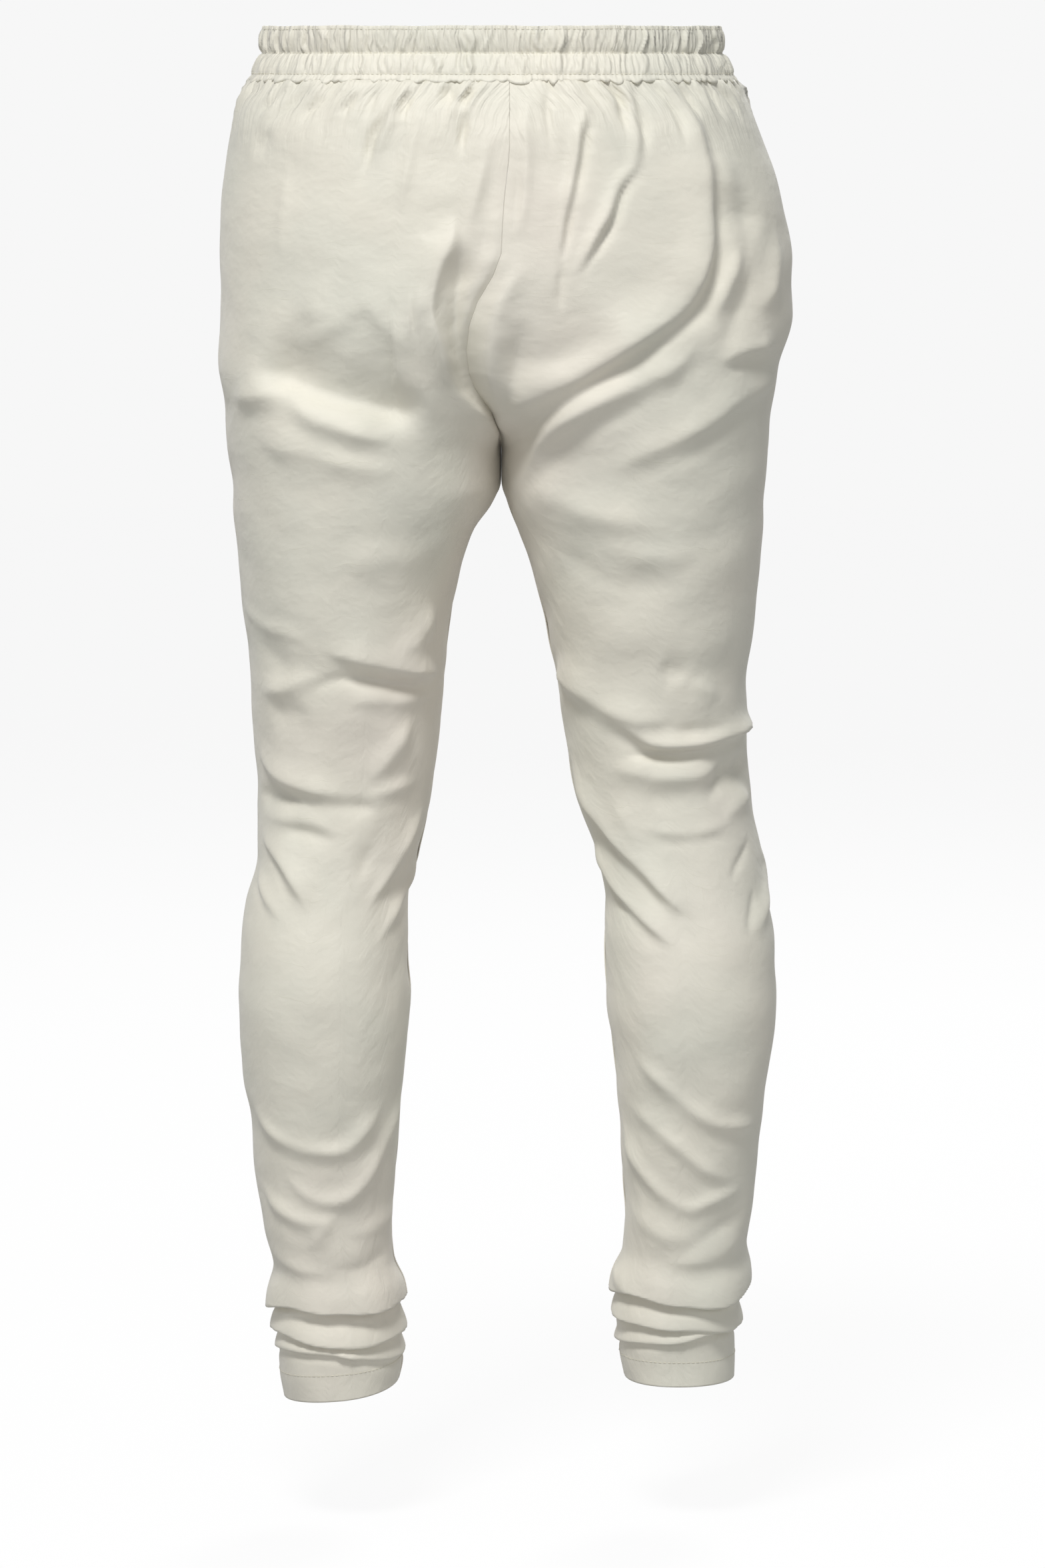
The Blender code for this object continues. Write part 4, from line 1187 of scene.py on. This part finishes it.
def sewing_thread(colours):
    shop = Shop("sewing_thread")
    fuzz = shop.noise(shop.object_place(), 900.0)
    darker = [0.86 * share for share in colours.thread]
    tone = shop.blend(fuzz, (*colours.thread, 1), (*darker, 1))
    shop.paint(Base_Color=tone, Roughness=0.5 + 0.2 * fuzz, Normal=shop.bump(0.00008 * fuzz))
    return shop.material


def stitch_tree(name, thread):
    """Geometry nodes that lay stitches along lines: pitch, length and width are its inputs."""
    tree = bpy.data.node_groups.new(name, "GeometryNodeTree")
    face = tree.interface
    face.new_socket("Geometry", in_out="INPUT", socket_type="NodeSocketGeometry")
    sockets = {}
    for title in ("Pitch", "Length", "Width"):
        socket = face.new_socket(title, in_out="INPUT", socket_type="NodeSocketFloat")
        sockets[title] = socket.identifier
    face.new_socket("Geometry", in_out="OUTPUT", socket_type="NodeSocketGeometry")

    def node(kind, values=None, **settings):
        """The first output of a new node."""
        return add_node(tree, kind, settings, values).outputs[0]

    given = add_node(tree, "NodeGroupInput").outputs
    line = node("GeometryNodeMeshToCurve", {"Mesh": given["Geometry"]})
    spaced = node("GeometryNodeResampleCurve", {"Curve": line, "Length": given["Pitch"]},
                  mode="LENGTH")
    heading = node("GeometryNodeInputTangent")
    turned = node("FunctionNodeAlignEulerToVector", {"Vector": heading}, axis="Z")
    rod = node("GeometryNodeMeshUVSphere", {"Segments": 6, "Rings": 5, "Radius": 0.5})
    width, length = given["Width"], given["Length"]
    scale = node("ShaderNodeCombineXYZ", {0: width, 1: width, 2: length})
    laid = node("GeometryNodeInstanceOnPoints", {
        "Points": spaced, "Instance": rod, "Rotation": turned, "Scale": scale})
    real = node("GeometryNodeRealizeInstances", {0: laid})
    painted = node("GeometryNodeSetMaterial", {"Geometry": real, "Material": thread})
    add_node(tree, "NodeGroupOutput", None, {"Geometry": painted})
    return tree, sockets


def sew(name, lines, sizes, thread):
    """Stitches along closed lines, as one plain mesh."""
    points, edges = [], []
    for line in lines:
        start = len(points)
        points += [tuple(point * MM) for point in line]
        edges += [(start + n, start + (n + 1) % len(line)) for n in range(len(line))]
    guide_mesh = bpy.data.meshes.new(f"{name}_guide")
    guide_mesh.from_pydata(points, edges, [])
    guide = show(guide_mesh.name, guide_mesh)
    tree, sockets = stitch_tree(f"{name}_rows", thread)
    rows = guide.modifiers.new("stitches", "NODES")
    rows.node_group = tree
    rows[sockets["Pitch"]] = sizes.stitch_pitch
    rows[sockets["Length"]] = sizes.stitch_length
    rows[sockets["Width"]] = sizes.thread_width
    made = guide.evaluated_get(bpy.context.evaluated_depsgraph_get())
    mesh = bpy.data.meshes.new_from_object(made)
    mesh.name = name
    guide.modifiers.remove(rows)
    bpy.data.objects.remove(guide, do_unlink=True)
    smooth_shading(mesh)
    return show(name, mesh)


def panel_material(colours):
    found = bpy.data.materials.get("cream_cotton_legs")
    return found or cotton("cream_cotton_legs", colours, slubs=0.55, crinkle=1.0, gathered=0.0030)


BUILT = {}  # the cloth of both legs and of the band, made once and used again by the stitches


def built_legs(sizes):
    if "legs" not in BUILT:
        BUILT["legs"] = leg_cloths(sizes)
    return BUILT["legs"]


# Cut of each panel: width and length of the flat cloth in metres, and its area
Cut = namedtuple("Cut", "width length area")


def make_panel(leg, face, sizes, colours):
    """One panel: its half of the leg's cloth, half a gap short of its seams, and thicker where the
    hem is turned up."""
    cloth = built_legs(sizes)[leg]
    half = cloth.half(face)
    into = 1 if face == "back" else -1
    outer = cloth.points[:, half].copy()
    tangents = unit(np.gradient(cloth.points, axis=1))[:, half]
    seam = 0 if face == "back" else -1
    outer[:, seam] += tangents[:, seam] * into * SEAM_GAP / 2
    whole = cloth.ovals.whole
    inseam = -1 - seam
    outer[whole, inseam] -= (tangents[:, inseam] * into * SEAM_GAP / 2)[whole]
    thick = sizes.thickness / MM
    in_hem = smooth_step((HEM_LEVEL + HEM_TURN - cloth.base[:, half, 2]) / 3)
    inner = outer - cloth.wall_normals[:, half] * (thick * (1 + 0.8 * in_hem))[..., None]
    obj = grid_mesh(f"{leg}_leg_{face}_cloth", outer, inner, cloth.arc[:, half],
                    cloth.path_lengths()[:, half], panel_material(colours))
    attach(obj, "root")
    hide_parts(f"{leg}_leg_{face}")
    return obj


class CHURIDAR_OT_waistband(bpy.types.Operator):
    """Makes the shirred waistband with its two elastic channels and ruffled lower edge"""
    bl_idname = "churidar.waistband"
    bl_label = "Waistband"

    def execute(self, context):
        sizes, colours = context.scene.churidar_sizes, context.scene.churidar_colours
        ring = BandRing(BAND_COUNT)
        surface = band_surface(sizes, ring)
        material = cotton("cream_cotton_band", colours, slubs=0.4, crinkle=0.7, gathered=0.0055)
        obj = band_mesh("waistband_cloth", surface, ring.arc, material)
        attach(obj, "root")
        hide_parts("waistband")
        BUILT["band"] = surface, ring
        return {"FINISHED"}


class CHURIDAR_OT_leg_backs(bpy.types.Operator):
    """Makes the back panels of both legs"""
    bl_idname = "churidar.leg_backs"
    bl_label = "Leg backs"

    def execute(self, context):
        sizes, colours = context.scene.churidar_sizes, context.scene.churidar_colours
        for leg in SIDES:
            make_panel(leg, "back", sizes, colours)
        return {"FINISHED"}


class CHURIDAR_OT_leg_fronts(bpy.types.Operator):
    """Makes the front panels of both legs"""
    bl_idname = "churidar.leg_fronts"
    bl_label = "Leg fronts"

    def execute(self, context):
        sizes, colours = context.scene.churidar_sizes, context.scene.churidar_colours
        for leg in SIDES:
            make_panel(leg, "front", sizes, colours)
        return {"FINISHED"}


class CHURIDAR_OT_stitches(bpy.types.Operator):
    bl_idname = "churidar.stitches"
    bl_label = "Stitches"

    def execute(self, context):
        sizes, colours = context.scene.churidar_sizes, context.scene.churidar_colours
        thread = sewing_thread(colours)
        surface, ring = BUILT["band"]
        lines = []
        for height in BAND_STITCH_ROWS:
            nearest = min(BAND_OUTSIDE, key=lambda n: abs(BAND_PROFILE[n].z - height))
            line = surface[:-1, nearest].copy()
            line[:, :2] += ring.out[:-1] * STITCH_PROUD
            lines.append(line)
        band_rows = sew("waistband_stitches", lines, sizes, thread)
        hems = {}
        for leg, cloth in built_legs(sizes).items():
            row = int(np.searchsorted(-cloth.z, -(HEM_LEVEL + HEM_TURN - HEM_STITCH_IN)))
            line = cloth.points[row, :-1] + cloth.wall_normals[row, :-1] * HEM_STITCH_PROUD
            hems[leg] = sew(f"{leg}_hem_stitches", [line], sizes, thread)
        for obj in (band_rows, *hems.values()):
            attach(obj, "root")
        return {"FINISHED"}


# Soft square lights: where they stand and how wide they are, in metres, and their power in watts
Light = namedtuple("Light", "name at size power")
LIGHTS = (
    Light("key", (0.7, 2.75, 3.1), 1.1, 146),
    Light("fill", (-2.8, 3.0, 0.2), 2.0, 15),
    Light("left_fill", (2.8, 2.4, 0.0), 2.0, 8),
    Light("front_key", (-0.9, -3.4, 2.1), 1.2, 80),
    Light("front_fill", (2.6, -3.0, 0.2), 2.0, 10),
)
LIT_HEIGHT = -0.5  # the height that the lights face

# The floor, and how bright the floor and the air look beside how much light they give
FLOOR_SIDES = 64
FLOOR_REACH = 12.0
FLOOR_GLOW = 1.12
FLOOR_GLOW_SHARE = 0.8
AIR_LIGHT = 0.33
AIR_LOOK = 0.93

# The camera: what its middle faces, and how many metres of height it sees there
VIEW_MIDDLE = (-0.0208, 0.0, -0.5109)
VIEW_HEIGHT = 1.1014
SENSOR_HEIGHT = 36


class CHURIDAR_OT_studio(bpy.types.Operator):
    """Makes the pale studio, its soft lights and the camera behind the garment"""
    bl_idname = "churidar.studio"
    bl_label = "Studio"

    def execute(self, context):
        sizes, colours = context.scene.churidar_sizes, context.scene.churidar_colours
        self.floor(sizes.floor_height, colours.studio)
        for light in LIGHTS:
            self.light(light)
        self.air(context.scene)
        context.scene.view_settings.view_transform = "Standard"
        context.scene.camera = self.camera(sizes.camera_distance)
        return {"FINISHED"}

    def floor(self, height, colour):
        turns = [2 * math.pi * n / FLOOR_SIDES for n in range(FLOOR_SIDES)]
        rim = [(FLOOR_REACH * math.cos(a), FLOOR_REACH * math.sin(a), height) for a in turns]
        mesh = bpy.data.meshes.new("studio_floor")
        mesh.from_pydata(rim, [], [tuple(range(FLOOR_SIDES))])
        shop = Shop("studio_paper")
        uneven = 0.5 * shop.noise(shop.object_place(), 1.5)
        tone = shop.blend(uneven, (*colour, 1), (0.50, 0.50, 0.50, 1))
        shop.paint(Base_Color=tone, Roughness=0.95)
        seen = Number(shop, shop.node("ShaderNodeLightPath").outputs["Is Camera Ray"])
        white = {"Color": (1, 1, 1, 1), "Strength": FLOOR_GLOW}
        glow = shop.node("ShaderNodeEmission", None, white)
        pale = shop.node("ShaderNodeMixShader", None, {
            0: FLOOR_GLOW_SHARE * seen, 1: shop.shader.outputs[0], 2: glow.outputs[0]})
        feed(shop.tree, shop.tree.nodes["Material Output"].inputs[0], pale.outputs[0])
        mesh.materials.append(shop.material)
        obj = show("studio_floor", mesh)

    def light(self, light):
        """One soft square light that faces the middle of the garment."""
        lamp = bpy.data.lights.new(light.name, "AREA")
        lamp.size = light.size
        lamp.energy = light.power
        x, y, z = light.at
        obj = show(light.name, lamp)
        obj.location = light.at
        dip = math.atan2(math.hypot(x, y), z - LIT_HEIGHT)
        obj.rotation_euler = (dip, 0, math.atan2(y, x) + math.pi / 2)

    def air(self, scene):
        """An even pale surrounding: bright behind the garment, dimmer where it lights it."""
        world = bpy.data.worlds.new("studio_air")
        world.use_nodes = True
        tree = world.node_tree
        dim = tree.nodes["Background"]
        feed(tree, dim.inputs["Color"], (0.98, 0.99, 1.0, 1))
        feed(tree, dim.inputs["Strength"], AIR_LIGHT)
        look = {"Color": (1, 1, 1, 1), "Strength": AIR_LOOK}
        bright = add_node(tree, "ShaderNodeBackground", None, look)
        seen = add_node(tree, "ShaderNodeLightPath").outputs["Is Camera Ray"]
        mix = {0: seen, 1: dim.outputs[0], 2: bright.outputs[0]}
        both = add_node(tree, "ShaderNodeMixShader", None, mix)
        feed(tree, tree.nodes["World Output"].inputs["Surface"], both.outputs[0])
        scene.world = world

    def camera(self, distance):
        aim = np.array(VIEW_MIDDLE)
        at = np.array((aim[0], distance, 0.0))
        lens = bpy.data.cameras.new("camera")
        lens.sensor_fit = "VERTICAL"
        lens.sensor_height = SENSOR_HEIGHT
        lens.lens = SENSOR_HEIGHT * float(np.linalg.norm(at - aim)) / VIEW_HEIGHT
        camera = show("camera", lens)
        camera.location = at
        slope = math.atan2(aim[2] - at[2], distance)
        camera.rotation_euler = (math.pi / 2 + slope, 0, math.pi)
        return camera


STEPS = (CHURIDAR_OT_waistband, CHURIDAR_OT_leg_backs, CHURIDAR_OT_leg_fronts, CHURIDAR_OT_stitches,
         CHURIDAR_OT_studio)


class CHURIDAR_PT_sidebar(bpy.types.Panel):
    """Lists the sizes, the colours and the steps"""
    bl_idname = "CHURIDAR_PT_sidebar"
    bl_label = "Churidar pants"
    bl_space_type = "VIEW_3D"
    bl_region_type = "UI"
    bl_category = "Churidar"

    def draw(self, context):
        for group in (context.scene.churidar_sizes, context.scene.churidar_colours):
            box = self.layout.box()
            for name in group.__annotations__:
                box.prop(group, name)
        for step in STEPS:
            self.layout.operator(step.bl_idname)


CLASSES = (ChuridarSizes, ChuridarColours, *STEPS, CHURIDAR_PT_sidebar)


def register():
    for cls in CLASSES:
        bpy.utils.register_class(cls)
    bpy.types.Scene.churidar_sizes = PointerProperty(type=ChuridarSizes)
    bpy.types.Scene.churidar_colours = PointerProperty(type=ChuridarColours)


def unregister():
    del bpy.types.Scene.churidar_colours
    del bpy.types.Scene.churidar_sizes
    for cls in reversed(CLASSES):
        bpy.utils.unregister_class(cls)


def main():
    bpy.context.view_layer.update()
    register()
    bpy.ops.churidar.waistband()
    bpy.ops.churidar.leg_backs()
    bpy.ops.churidar.leg_fronts()
    bpy.ops.churidar.stitches()
    bpy.ops.churidar.studio()


if __name__ == "__main__":
    main()
